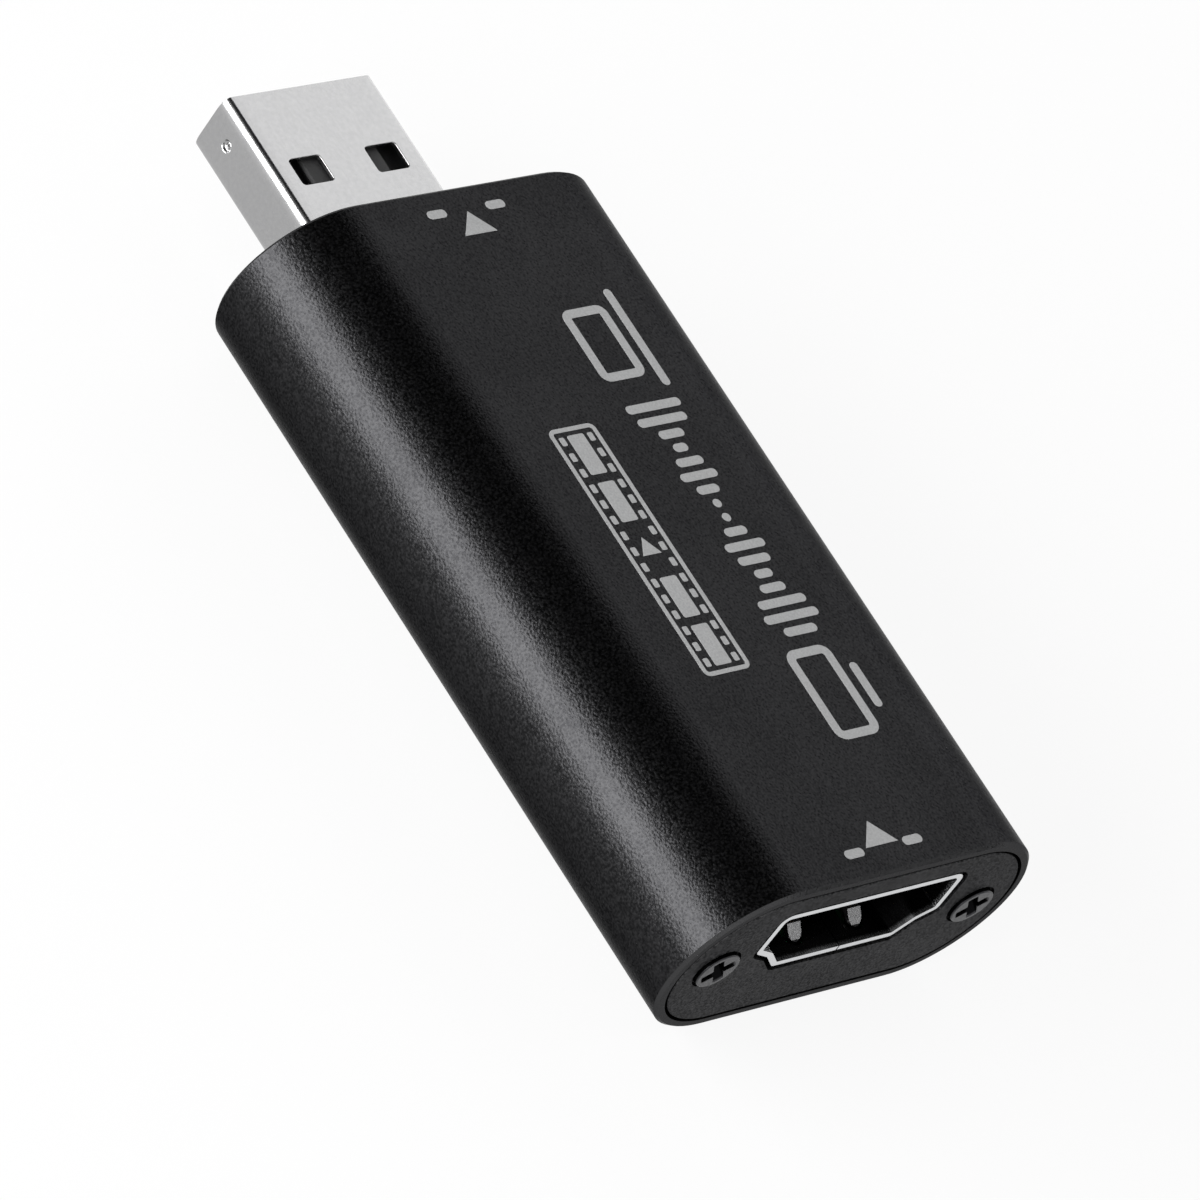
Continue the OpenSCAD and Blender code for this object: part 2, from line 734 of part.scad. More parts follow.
// Socket blade at y with its underside at z: along the tongue, out of the back and down to the board
module socket_blade(y, z, g) {
  tip_x = mouth_x - socket_tongue_back - pin_back;
  side_y = pin_w / 2;
  translate([0, y, 0]) {
    block([tail_x - blade_t, -side_y - g, z - g], [tip_x + g, side_y + g, z + blade_t + g]);
    block([tail_x - blade_t, -side_y, board_top], [tail_x, side_y, z + blade_t]);
    block([socket_foot_x, -side_y, board_top], [tail_x, side_y, board_top + blade_t]);
  }
}

// Row of n socket blades about the middle
module socket_row(n, z, g) {
  for (i = [0:n - 1]) socket_blade((i - (n - 1) / 2) * pin_pitch, z, g);
}

module socket_core() {
  block_x = mouth_x - socket_block_back;
  tongue_x = mouth_x - socket_tongue_back;
  color("#161618") difference() {
    union() {
      translate([0, 0, socket_z]) along_x(socket_back_x, block_x)
        polygon(rounded_outline(socket_corners, -socket_wall - core_gap));
      translate([0, 0, pin_mid_z]) along_x(block_x - cut, tongue_x)
        square([socket_tongue_w, socket_tongue_t], center = true);
    }
    socket_row(upper_pins, upper_pin_z, blade_gap);
    socket_row(lower_pins, lower_pin_z, blade_gap);
  }
}

module socket_upper_contacts() {
  color("#c9a24a") socket_row(upper_pins, upper_pin_z, 0);
}

module socket_lower_contacts() {
  color("#c9a24a") socket_row(lower_pins, lower_pin_z, 0);
}

module capture_chip() {
  color("#202124") pad(chip_x, 0, board_top + land_h, [chip_side, chip_side, chip_h]);
}

module capture_chip_pads() {
  color("#b9bbbd") for (a = [0:90:270], i = [0:chip_lands - 1]) {
    land_y = (i - (chip_lands - 1) / 2) * land_pitch;
    translate([chip_x, 0, 0]) rotate(a)
      pad((chip_side - land_l) / 2, land_y, board_top, [land_l, land_w, land_h]);
  }
}

// Chip body on its leads
module chip_body(x, y, size) {
  pad(x, y, board_top + chip_lift, [size[0], size[1], size[2] - chip_lift]);
}

// Gull-wing leads, n on each long side, of a chip of width w and height h
module chip_leads(x, y, w, h, n, pitch) {
  lead_z = (h + chip_lift) / 2;
  bend = lead_out / 2;
  side = [[0, lead_z], [bend - lead_t, lead_z], [bend - lead_t, 0], [lead_out, 0],
    [lead_out, lead_t], [bend, lead_t], [bend, lead_z + lead_t], [0, lead_z + lead_t]];
  for (s = [0, 1], i = [0:n - 1])
    translate([x + (i - (n - 1) / 2) * pitch, y, board_top]) mirror([0, s, 0])
      translate([-lead_w / 2, w / 2, 0]) along_x(0, lead_w) polygon(side);
}

module memory_chip() {
  color("#202124") chip_body(memory_x, memory_y, [memory_l, memory_w, memory_h]);
}

module memory_chip_leads() {
  color("#b9bbbd") chip_leads(memory_x, memory_y, memory_w, memory_h, memory_leads, memory_pitch);
}

module regulators() {
  color("#202124") for (s = [-1, 1])
    chip_body(regulator_x, s * regulator_y, [regulator_l, regulator_w, regulator_h]);
}

module regulator_leads() {
  color("#b9bbbd") for (s = [-1, 1])
    chip_leads(regulator_x, s * regulator_y, regulator_w, regulator_h, regulator_leads,
      regulator_pitch);
}

module crystal_base() {
  color("#3a352f") pad(crystal_x, -crystal_y, board_top, [crystal_l, crystal_w, crystal_h]);
}

module crystal_lid() {
  color("#c6c4ba") pad(crystal_x, -crystal_y, board_top + crystal_h,
    [crystal_l - 2 * crystal_margin, crystal_w - 2 * crystal_margin, crystal_lid_t]);
}

module surge_arrays() {
  color("#202124") for (s = [-1, 1])
    pad(surge_x, s * surge_y, board_top, [surge_w, surge_l, surge_h]);
}

// Ceramic middle of a two-ended part of this size, along X
module part_middle(x, y, size) {
  pad(x, y, board_top, [size[0] * (1 - 2 * end_share), size[1], size[2]]);
}

// Metal ends of a two-ended part of this size
module part_ends(x, y, size) {
  for (s = [-1, 1])
    pad(x + s * size[0] * (1 - end_share) / 2, y, board_top,
      [size[0] * end_share, size[1], size[2]]);
}

fuse_size = [bulk_l, bulk_w, fuse_h];
bulk_size = [bulk_l, bulk_w, bulk_h];
bypass_size = [small_l, small_w, small_h];
resistor_size = [small_l, small_w, resistor_h];

module input_fuse() {
  color("#1f5a3a") part_middle(fuse_x, 0, fuse_size);
}

module input_fuse_ends() {
  color("#b9bbbd") part_ends(fuse_x, 0, fuse_size);
}

// Places of the bulk capacitors
module at_bulk() {
  for (i = [0:bulk_count - 1]) translate([memory_x, -bulk_y - i * bulk_pitch, 0]) children();
}

module bulk_capacitors() {
  color("#b08a5a") at_bulk() part_middle(0, 0, bulk_size);
}

module bulk_capacitor_ends() {
  color("#b9bbbd") at_bulk() part_ends(0, 0, bulk_size);
}

// Places of the bypass capacitors, side on to the two long edges and the plug side of the chip
module at_bypass() {
  reach = chip_side / 2 + bypass_gap + small_w / 2;
  for (a = [90, 180, 270], i = [0:bypass_count - 1])
    translate([chip_x, 0, 0]) rotate(a)
      translate([reach, (i - (bypass_count - 1) / 2) * bypass_pitch, 0]) rotate(90) children();
}

module bypass_capacitors() {
  color("#b08a5a") at_bypass() part_middle(0, 0, bypass_size);
}

module bypass_capacitor_ends() {
  color("#b9bbbd") at_bypass() part_ends(0, 0, bypass_size);
}

// Places of the resistors in their row
module at_row() {
  for (i = [0:row_count - 1])
    translate([row_x, (i - (row_count - 1) / 2) * row_pitch, 0]) children();
}

module line_resistors() {
  color("#26262a") at_row() part_middle(0, 0, resistor_size);
}

module line_resistor_ends() {
  color("#b9bbbd") at_row() part_ends(0, 0, resistor_size);
}

tube_body();
front_plate();
rear_plate();
front_screws();
rear_screws();
circuit_board();
plug_shell();
plug_tongue();
plug_contacts();
socket_shell();
socket_core();
socket_upper_contacts();
socket_lower_contacts();
capture_chip();
capture_chip_pads();
memory_chip();
memory_chip_leads();
regulators();
regulator_leads();
crystal_base();
crystal_lid();
surge_arrays();
input_fuse();
input_fuse_ends();
bulk_capacitors();
bulk_capacitor_ends();
bypass_capacitors();
bypass_capacitor_ends();
line_resistors();
line_resistor_ends();
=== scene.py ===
"""Looks of a video capture dongle: finishes, printed marks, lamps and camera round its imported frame.

Sizes in the classes are millimetres in the frame of the part: +X out of the video socket, +Z up, origin
under the middle of the tube. Meshes are written in metres.
"""

import logging
import math
from dataclasses import dataclass
from enum import Enum

import bmesh
import bpy
import numpy as np
from mathutils import Matrix, Vector


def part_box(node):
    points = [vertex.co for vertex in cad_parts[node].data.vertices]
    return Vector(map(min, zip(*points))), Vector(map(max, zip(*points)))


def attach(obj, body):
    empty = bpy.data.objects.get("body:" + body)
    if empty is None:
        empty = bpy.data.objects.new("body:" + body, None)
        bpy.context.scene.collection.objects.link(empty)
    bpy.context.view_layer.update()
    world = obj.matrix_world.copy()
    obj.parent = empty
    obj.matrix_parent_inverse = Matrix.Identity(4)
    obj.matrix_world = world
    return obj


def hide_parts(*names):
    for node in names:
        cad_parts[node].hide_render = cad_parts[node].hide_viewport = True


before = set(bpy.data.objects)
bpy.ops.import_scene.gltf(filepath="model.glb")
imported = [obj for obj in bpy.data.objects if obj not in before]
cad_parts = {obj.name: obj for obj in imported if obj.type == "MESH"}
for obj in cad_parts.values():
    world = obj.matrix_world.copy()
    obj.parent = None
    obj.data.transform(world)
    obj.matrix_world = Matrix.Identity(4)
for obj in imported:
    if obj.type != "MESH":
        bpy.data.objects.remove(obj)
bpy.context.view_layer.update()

LOG = logging.getLogger("dongle")
MM = 0.001
BODY = "root"
# Angle between two faces above which their edge is sharp
SHARP_ANGLE = math.radians(32)
# Distance in metres within which two points of a piece are one
MERGE_DISTANCE = 1e-8
# Decimals of a millimetre to which two points of a blank are one
WELD_DECIMALS = 6
# Values between which nearly all of a noise texture lies
NOISE_SPAN = (0.3, 0.7)
# Share of the pits' colour at those two values, before the patches
PIT_SHARES = (1.3, 0.3)

Colour = tuple[float, float, float, float]
Pair = tuple[float, float]
Socket = bpy.types.NodeSocket


def linear(code: str) -> Colour:
    """Turn an sRGB hex colour into linear red, green, blue and alpha.

    Args:
        code: Colour such as "#a0a0a0".

    Returns:
        The linear colour, with an alpha of 1.
    """
    srgb = np.array([int(code[i:i + 2], 16) for i in (1, 3, 5)]) / 255
    value = np.where(srgb <= 0.04045, srgb / 12.92, ((srgb + 0.055) / 1.055) ** 2.4)
    return (*value.tolist(), 1.0)


def per_mm(size: float) -> float:
    """Texture scale at which one feature is `size` millimetres wide on coordinates in metres."""
    return 1 / (size * MM)


def add_node(
    tree: bpy.types.NodeTree, kind: str, settings: dict | None = None, inputs: dict | None = None
) -> bpy.types.Node:
    """Add one node with its settings, input values and links.

    Args:
        tree: Node tree that gets the node.
        kind: Blender's name of the node type.
        settings: Properties of the node by name.
        inputs: Inputs by name or index. An output socket is linked, any other value is set.

    Returns:
        The new node.
    """
    node = tree.nodes.new(kind)
    for name, value in (settings or {}).items():
        setattr(node, name, value)
    for key, value in (inputs or {}).items():
        if isinstance(value, Socket):
            tree.links.new(value, node.inputs[key])
        else:
            node.inputs[key].default_value = value
    return node


def bare_material(name: str) -> bpy.types.Material:
    """Make a material that has no nodes yet.

    Args:
        name: Its name.

    Returns:
        The new material.
    """
    material = bpy.data.materials.new(name)
    material.use_nodes = True
    material.node_tree.nodes.clear()
    return material


def put(name: str, data: bpy.types.ID) -> bpy.types.Object:
    """Put a mesh, lamp or camera into the scene.

    Args:
        name: Name of its object.
        data: The mesh, lamp or camera.

    Returns:
        The new object.
    """
    item = bpy.data.objects.new(name, data)
    bpy.context.scene.collection.objects.link(item)
    return item


@dataclass(frozen=True)
class Canvas:
    """Nodes of one material, on which a finish lays its pattern.

    Attributes:
        tree: Node tree of the material.
        shader: Its Principled shader.
        coords: Object coordinates, in metres.
    """

    tree: bpy.types.NodeTree
    shader: bpy.types.Node
    coords: Socket

    def end_share(self, start_mm: float, end_mm: float) -> Socket:
        """Share from 0 to 1 between two distances from the middle of the tube, towards either end.

        Args:
            start_mm: Distance along X where the share is 0.
            end_mm: Distance along X where it is 1.

        Returns:
            The share.
        """
        place = add_node(self.tree, "ShaderNodeSeparateXYZ", inputs={"Vector": self.coords})
        reach = add_node(self.tree, "ShaderNodeMath", {"operation": "ABSOLUTE"}, {0: place.outputs["X"]})
        share = add_node(self.tree, "ShaderNodeMapRange", {"interpolation_type": "SMOOTHSTEP"}, {
            "Value": reach.outputs["Value"], "From Min": start_mm * MM, "From Max": end_mm * MM})
        return share.outputs["Result"]

    def overlay(self, share: Socket, code: str) -> None:
        """Lay one colour over what the shader already has.

        Args:
            share: Share of the new colour, from 0 to 1.
            code: The new colour, in sRGB.
        """
        base = self.shader.inputs["Base Color"]
        below = base.links[0].from_socket if base.is_linked else tuple(base.default_value)
        colour = add_node(self.tree, "ShaderNodeMixRGB", inputs={
            "Fac": share, "Color1": below, "Color2": linear(code)})
        self.tree.links.new(colour.outputs["Color"], base)

    def relief(self, height: Socket, depth_mm: float, rough: Pair, span: Pair = (0.0, 1.0)) -> None:
        """Let a pattern of heights change the normal and the roughness.

        Args:
            height: Heights of the pattern.
            depth_mm: Depth of the pattern for a height of 1.
            rough: Roughness at both ends of the span.
            span: Heights between which the roughness changes.
        """
        roughness = add_node(self.tree, "ShaderNodeMapRange", inputs={
            "Value": height, "From Min": span[0], "From Max": span[1],
            "To Min": rough[0], "To Max": rough[1]})
        bump = add_node(self.tree, "ShaderNodeBump", inputs={
            "Height": height, "Strength": 1.0, "Distance": depth_mm * MM})
        self.tree.links.new(roughness.outputs["Result"], self.shader.inputs["Roughness"])
        self.tree.links.new(bump.outputs["Normal"], self.shader.inputs["Normal"])


@dataclass(frozen=True)
class Finish:
    """Surface of one real material. Subclasses lay its pattern on the shader.

    Attributes:
        name: The material's own name.
        colour: Its main colour, in sRGB.
        roughness: Mean roughness.
    """

    name: str
    colour: str
    roughness: float

    def material(self) -> bpy.types.Material:
        """Make this finish's Blender material, on first use.

        Returns:
            The material.
        """
        found = bpy.data.materials.get(self.name)
        if found:
            return found
        material = bare_material(self.name)
        tree = material.node_tree
        shader = add_node(tree, "ShaderNodeBsdfPrincipled", inputs={
            "Base Color": linear(self.colour), "Roughness": self.roughness})
        add_node(tree, "ShaderNodeOutputMaterial", inputs={"Surface": shader.outputs["BSDF"]})
        self.lay(Canvas(tree, shader, add_node(tree, "ShaderNodeTexCoord").outputs["Object"]))
        return material

    def around(self, spread: float) -> Pair:
        """Roughness at a spread below and above its mean."""
        return self.roughness - spread, self.roughness + spread

    def lay(self, canvas: Canvas) -> None:
        """Lay the pattern of the finish on the nodes of its material."""
        raise NotImplementedError


@dataclass(frozen=True)
class BlastedFinish(Finish):
    """Bead-blasted surface, dyed or printed: a fine even grit that sparkles where light grazes it.

    Attributes:
        deep_colour: Colour in the pits, in sRGB.
        metallic: 1 where dyed oxide lies on metal, 0 for ink.
        edge: Tint of the gloss at a low angle, in sRGB. The pits shade each other there.
        grit_mm: Width of a pit, coarser than the real 0.05 mm so that it shows.
        grit_depth_mm: Depth of a pit.
        cloud_mm: Width of the faint patches in the dye.
        cloud_share: Strength of the patches.
        spread: Change of the roughness from pit to pit.
    """

    deep_colour: str
    metallic: float
    edge: str
    grit_mm: float
    grit_depth_mm: float
    cloud_mm: float
    cloud_share: float
    spread: float

    def lay(self, canvas: Canvas) -> None:
        """Lay grit on the normal, colour and roughness, and faint patches on the colour.

        Args:
            canvas: Nodes of the material.
        """
        canvas.shader.inputs["Metallic"].default_value = self.metallic
        canvas.shader.inputs["Specular Tint"].default_value = linear(self.edge)
        grit = add_node(canvas.tree, "ShaderNodeTexNoise", inputs={
            "Vector": canvas.coords, "Scale": per_mm(self.grit_mm), "Detail": 1.0})
        cloud = add_node(canvas.tree, "ShaderNodeTexNoise", inputs={
            "Vector": canvas.coords, "Scale": per_mm(self.cloud_mm), "Detail": 2.0})
        pit = add_node(canvas.tree, "ShaderNodeMapRange", inputs={
            "Value": grit.outputs["Fac"], "From Min": NOISE_SPAN[0], "From Max": NOISE_SPAN[1],
            "To Min": PIT_SHARES[0], "To Max": PIT_SHARES[1]})
        deep = add_node(canvas.tree, "ShaderNodeMath", {"operation": "MULTIPLY_ADD"}, {
            0: cloud.outputs["Fac"], 1: -self.cloud_share, 2: pit.outputs["Result"]})
        canvas.overlay(deep.outputs["Value"], self.deep_colour)
        canvas.relief(grit.outputs["Fac"], self.grit_depth_mm, self.around(self.spread), NOISE_SPAN)


@dataclass(frozen=True)
class ChamferHighlightFinish(BlastedFinish):
    """Blasted extrusion whose chamfered ends carry a painted highlight: a colour paler than the blasted
    surface.

    Attributes:
        edge_highlight_colour: Colour of the painted highlight on the chamfered ends, in sRGB.
        cut_x_mm: Distance of the chamfer's start from the middle of the tube.
        cut_blur_mm: Distance over which the colour changes, to either side of that start.
    """

    edge_highlight_colour: str
    cut_x_mm: float
    cut_blur_mm: float

    def lay(self, canvas: Canvas) -> None:
        """Lay the blasted surface, then the painted highlight on the chamfered ends.

        Args:
            canvas: Nodes of the material.
        """
        super().lay(canvas)
        cut = canvas.end_share(self.cut_x_mm - self.cut_blur_mm, self.cut_x_mm + self.cut_blur_mm)
        # Painted highlight: the chamfered ends are painted paler
        canvas.overlay(cut, self.edge_highlight_colour)


@dataclass(frozen=True)
class SheetMetal(Finish):
    """Rolled or plated sheet: faint lines along its length and soft stains.

    Attributes:
        stain_colour: Colour of the faint stains, in sRGB.
        line_mm: Spacing of the rolling lines, coarser than the real 0.01 mm so that they show.
        line_length_mm: Length of a rolling line.
        line_depth_mm: Depth of a rolling line.
        stain_mm: Width of a stain.
        spread: Change of the roughness from line to line.
    """

    stain_colour: str
    line_mm: float
    line_length_mm: float
    line_depth_mm: float
    stain_mm: float
    spread: float

    def lay(self, canvas: Canvas) -> None:
        """Lay lines along X on the normal and roughness, and stains on the colour.

        Args:
            canvas: Nodes of the material.
        """
        canvas.shader.inputs["Metallic"].default_value = 1.0
        across = per_mm(self.line_mm)
        stretched = add_node(canvas.tree, "ShaderNodeMapping", inputs={
            "Vector": canvas.coords, "Scale": (per_mm(self.line_length_mm), across, across)})
        lines = add_node(canvas.tree, "ShaderNodeTexNoise", inputs={
            "Vector": stretched.outputs["Vector"], "Scale": 1.0, "Detail": 3.0})
        stain = add_node(canvas.tree, "ShaderNodeTexNoise", inputs={
            "Vector": canvas.coords, "Scale": per_mm(self.stain_mm), "Detail": 4.0})
        canvas.overlay(stain.outputs["Fac"], self.stain_colour)
        canvas.relief(lines.outputs["Fac"], self.line_depth_mm, self.around(self.spread), NOISE_SPAN)


@dataclass(frozen=True)
class PaintedShadePlating(SheetMetal):
    """Plated metal, pale on its end face, with painted shade that darkens it behind that face.

    Attributes:
        painted_shade_colour: Colour of the painted shade behind the end face, in sRGB.
        face_x_mm: Distance of the end face from the middle of the tube, towards either end.
        fade_mm: Depth behind that face at which the painted shade is full.
    """

    painted_shade_colour: str
    face_x_mm: float
    fade_mm: float

    def lay(self, canvas: Canvas) -> None:
        """Lay the sheet's lines and stains, then the painted shade behind the end face."""
        super().lay(canvas)
        # Painted shade: the metal is painted darker behind the end face
        canvas.overlay(canvas.end_share(self.face_x_mm, self.face_x_mm - self.fade_mm), self.painted_shade_colour)


@dataclass(frozen=True)
class MouthPlating(PaintedShadePlating):
    """Plating of a socket's mouth: painted shade inside, and a painted highlight on the crests of its spring
    fingers.

    Attributes:
        painted_highlight_colour: Colour of the painted highlight on the fingers, in sRGB.
        highlight_y_mm: Distance from the middle within which the fingers lie.
        highlight_z_mm: Heights between which their crests stand, clear of both walls.
    """

    painted_highlight_colour: str
    highlight_y_mm: float
    highlight_z_mm: Pair

    def lay(self, canvas: Canvas) -> None:
        """Lay the plating and its painted shade, then the painted highlight on what stands clear of the
        upper and lower walls.

        Args:
            canvas: Nodes of the material.
        """
        super().lay(canvas)
        low, high = self.highlight_z_mm
        place = add_node(canvas.tree, "ShaderNodeSeparateXYZ", inputs={"Vector": canvas.coords})
        side = add_node(canvas.tree, "ShaderNodeMath", {"operation": "COMPARE"}, {
            0: place.outputs["Y"], 1: 0.0, 2: self.highlight_y_mm * MM})
        clear = add_node(canvas.tree, "ShaderNodeMath", {"operation": "COMPARE"}, {
            0: place.outputs["Z"], 1: (low + high) / 2 * MM, 2: (high - low) / 2 * MM})
        highlit = add_node(canvas.tree, "ShaderNodeMath", {"operation": "MULTIPLY"}, {
            0: side.outputs["Value"], 1: clear.outputs["Value"]})
        # Painted highlight: the crests of the spring fingers are painted paler than the painted shade round
        # them
        canvas.overlay(highlit.outputs["Value"], self.painted_highlight_colour)


@dataclass(frozen=True)
class MouldedFinish(Finish):
    """Moulded plastic, epoxy or fired ceramic: a fine grain with specks of filler.

    Attributes:
        fleck_colour: Colour of the filler specks, in sRGB.
        grain_mm: Width of the grain.
        grain_depth_mm: Depth of the grain.
        fleck_mm: Spacing of the specks.
        fleck_share: Share of the surface that the specks take.
        spread: Change of the roughness over the grain.
    """

    fleck_colour: str
    grain_mm: float
    grain_depth_mm: float
    fleck_mm: float
    fleck_share: float
    spread: float = 0.08

    def lay(self, canvas: Canvas) -> None:
        """Lay the grain on the normal and roughness, and the specks on the colour.

        Args:
            canvas: Nodes of the material.
        """
        grain = add_node(canvas.tree, "ShaderNodeTexNoise", inputs={
            "Vector": canvas.coords, "Scale": per_mm(self.grain_mm), "Detail": 3.0})
        cells = add_node(canvas.tree, "ShaderNodeTexVoronoi", inputs={
            "Vector": canvas.coords, "Scale": per_mm(self.fleck_mm)})
        fleck = add_node(canvas.tree, "ShaderNodeMapRange", inputs={
            "Value": cells.outputs["Distance"], "From Min": 0.0, "From Max": self.fleck_share,
            "To Min": 1.0, "To Max": 0.0})
        canvas.overlay(fleck.outputs["Result"], self.fleck_colour)
        canvas.relief(grain.outputs["Fac"], self.grain_depth_mm, self.around(self.spread))


@dataclass(frozen=True)
class SolderMask(Finish):
    """Green resist over copper tracks on glass cloth: lighter tracks, and the weave faintly below.

    Attributes:
        track_colour: Colour over the copper, in sRGB.
        track_mm: Spacing of the tracks.
        weave_mm: Spacing of the glass threads.
        weave_depth_mm: Depth of the weave.
        weave_share: How much of the weave shows through the resist.
        weave_bend: How far its threads wander.
        track_share: Width of a track, as a share of the spacing.
        track_blur: Softness of a track's edges.
        track_l: Length of a track, in spacings.
        stagger: Shift of every second row, as a share of that length.
        coat: Weight of the clear gloss.
    """

    track_colour: str
    track_mm: float
    weave_mm: float
    weave_depth_mm: float
    weave_share: float = 0.5
    weave_bend: float = 1.5
    track_share: float = 0.09
    track_blur: float = 0.2
    track_l: float = 3.0
    stagger: float = 0.37
    coat: float = 0.4

    def lay(self, canvas: Canvas) -> None:
        """Lay tracks on the colour and the weave on the normal.

        Args:
            canvas: Nodes of the material.
        """
        tree, inputs = canvas.tree, canvas.shader.inputs
        bricks = add_node(tree, "ShaderNodeTexBrick", {"offset": self.stagger}, {
            "Vector": canvas.coords, "Scale": per_mm(self.track_mm), "Brick Width": self.track_l,
            "Row Height": 1.0, "Color1": linear(self.colour), "Color2": linear(self.colour),
            "Mortar": linear(self.track_colour), "Mortar Size": self.track_share,
            "Mortar Smooth": self.track_blur})
        weave = add_node(tree, "ShaderNodeTexWave", {"wave_type": "BANDS", "bands_direction": "DIAGONAL"}, {
            "Vector": canvas.coords, "Scale": per_mm(self.weave_mm), "Distortion": self.weave_bend})
        bump = add_node(tree, "ShaderNodeBump", inputs={
            "Height": weave.outputs["Fac"], "Strength": self.weave_share,
            "Distance": self.weave_depth_mm * MM})
        tree.links.new(bricks.outputs["Color"], inputs["Base Color"])
        tree.links.new(bump.outputs["Normal"], inputs["Normal"])
        inputs["Coat Weight"].default_value = self.coat


# Aluminium, bead blasted and anodised black: near black, with a soft sparkling sheen along the round sides,
# and a painted highlight on its chamfered ends
ANODISED = ChamferHighlightFinish(
    "Black_anodised_aluminium", "#303031", 0.325, "#1e1e1f",
    metallic=1.0, edge="#b3b3b3", grit_mm=0.16, grit_depth_mm=0.022, cloud_mm=5.0, cloud_share=0.5,
    spread=0.06, edge_highlight_colour="#404041", cut_x_mm=25.55, cut_blur_mm=0.03)
# Stamped aluminium plate, blasted finer and anodised: a flat charcoal
PLATE = BlastedFinish(
    "Black_anodised_plate", "#4d4d4e", 0.42, "#222223",
    metallic=1.0, edge="#bbbbbb", grit_mm=0.15, grit_depth_mm=0.016, cloud_mm=4.0, cloud_share=0.5,
    spread=0.05)
# Pad-printed epoxy ink: matt mid grey with a slightly open, dusty surface
INK = BlastedFinish(
    "Grey_pad_printing_ink", "#a4a4a5", 0.60, "#929393",
    metallic=0.0, edge="#ffffff", grit_mm=0.14, grit_depth_mm=0.006, cloud_mm=0.6, cloud_share=0.6,
    spread=0.08)
# Nickel-plated steel strip, rolled: pale satin with faint lines along the plug
PLUG_STEEL = SheetMetal(
    "Nickel_plated_steel", "#a9a9a9", 0.23, "#9b9b9c",
    line_mm=0.08, line_length_mm=2.0, line_depth_mm=0.0005, stain_mm=0.3, spread=0.025)
# Tin-plated steel strip: bright along the cut rim of the mouth, with painted shade that turns it dull grey
# inside, and a painted highlight on its spring fingers
SOCKET_STEEL = MouthPlating(
    "Tin_plated_steel", "#d2d3d4", 0.26, "#c2c3c5",
    line_mm=0.09, line_length_mm=0.4, line_depth_mm=0.0004, stain_mm=0.9, spread=0.04,
    painted_shade_colour="#2c2c2d", face_x_mm=25.6, fade_mm=0.3,
    painted_highlight_colour="#b0b0b1", highlight_y_mm=4.0, highlight_z_mm=(5.38, 10.02))
# Black zinc-plated screw steel: a soft glint on the head, with painted shade that turns it black down in the
# cross
SCREW_STEEL = PaintedShadePlating(
    "Black_zinc_plated_steel", "#4c4c4e", 0.36, "#262628",
    line_mm=0.12, line_length_mm=0.15, line_depth_mm=0.003, stain_mm=0.5, spread=0.08,
    painted_shade_colour="#0b0b0c", face_x_mm=25.95, fade_mm=0.09)
# Gold flash over nickel: warm and smooth
GOLD = SheetMetal(
    "Gold_flash", "#d9b46b", 0.22, "#c9a259",
    line_mm=0.05, line_length_mm=1.2, line_depth_mm=0.0006, stain_mm=0.7, spread=0.05)
# Matt tin on leads, lands and end caps
TIN = SheetMetal(
    "Matt_tin", "#c6c7c8", 0.38, "#b2b3b5",
    line_mm=0.05, line_length_mm=0.06, line_depth_mm=0.001, stain_mm=0.3, spread=0.08)
# Glass-filled liquid-crystal polymer: black, faintly grained by its fibres
INSULATOR = MouldedFinish(
    "Glass_filled_polymer", "#0e0e0f", 0.62, "#1a1a1b",
    grain_mm=0.1, grain_depth_mm=0.003, fleck_mm=0.35, fleck_share=0.25)
# Epoxy mould compound of the chips: charcoal with fine silica specks
MOULD_COMPOUND = MouldedFinish(
    "Epoxy_mould_compound", "#1d1e20", 0.55, "#2b2c2e",
    grain_mm=0.08, grain_depth_mm=0.004, fleck_mm=0.2, fleck_share=0.3)
# Fired titanate body of the capacitors: tan and fine grained
TAN_CERAMIC = MouldedFinish(
    "Titanate_ceramic", "#a8865c", 0.5, "#bb9a70",
    grain_mm=0.06, grain_depth_mm=0.002, fleck_mm=0.15, fleck_share=0.3)
# Alumina base of the crystal: brown-grey
BROWN_CERAMIC = MouldedFinish(
    "Alumina_ceramic", "#3a352f", 0.5, "#4a443c",
    grain_mm=0.06, grain_depth_mm=0.002, fleck_mm=0.15, fleck_share=0.3)
# Green polymer body of the fuse
FUSE_POLYMER = MouldedFinish(
    "Fuse_polymer", "#1f5a3a", 0.45, "#2a6b47",
    grain_mm=0.08, grain_depth_mm=0.003, fleck_mm=0.25, fleck_share=0.3)
# Glaze over the resistors: black and smooth
RESISTOR_GLAZE = MouldedFinish(
    "Resistor_glaze", "#1b1b1e", 0.35, "#28282b",
    grain_mm=0.08, grain_depth_mm=0.002, fleck_mm=0.2, fleck_share=0.25)
# Green solder resist on glass epoxy
BOARD_RESIST = SolderMask(
    "Green_solder_resist", "#16492d", 0.35, "#215f3b", track_mm=0.8, weave_mm=0.5, weave_depth_mm=0.004)


@dataclass(frozen=True)
class Surface:
    """Points in millimetres and the faces between them.

    Attributes:
        points: Array of shape (n, 3).
        faces: Corner indices of each face.
    """

    points: np.ndarray
    faces: list[list[int]]


def joined(parts: list[Surface]) -> Surface:
    """Put several surfaces into one.

    Args:
        parts: Surfaces to join.

    Returns:
        One surface with all their points and faces.
    """
    starts = np.cumsum([0] + [len(part.points) for part in parts])
    faces = [[start + i for i in face] for part, start in zip(parts, starts) for face in part.faces]
    return Surface(np.concatenate([part.points for part in parts]), faces)


def ring_quads(count: int, size: int, closed: bool = False) -> np.ndarray:
    """Quads between rings of points: each edge of a ring is joined to the same edge of the next.

    Args:
        count: Number of rings.
        size: Points in a ring.
        closed: True where the last ring joins the first.

    Returns:
        Corner indices of shape (n, 4).
    """
    row = np.arange(count if closed else count - 1)[:, None]
    col = np.arange(size)[None, :]
    near, far, after = row * size, (row + 1) % count * size, (col + 1) % size
    return np.stack([near + col, near + after, far + after, far + col], axis=-1).reshape(-1, 4)


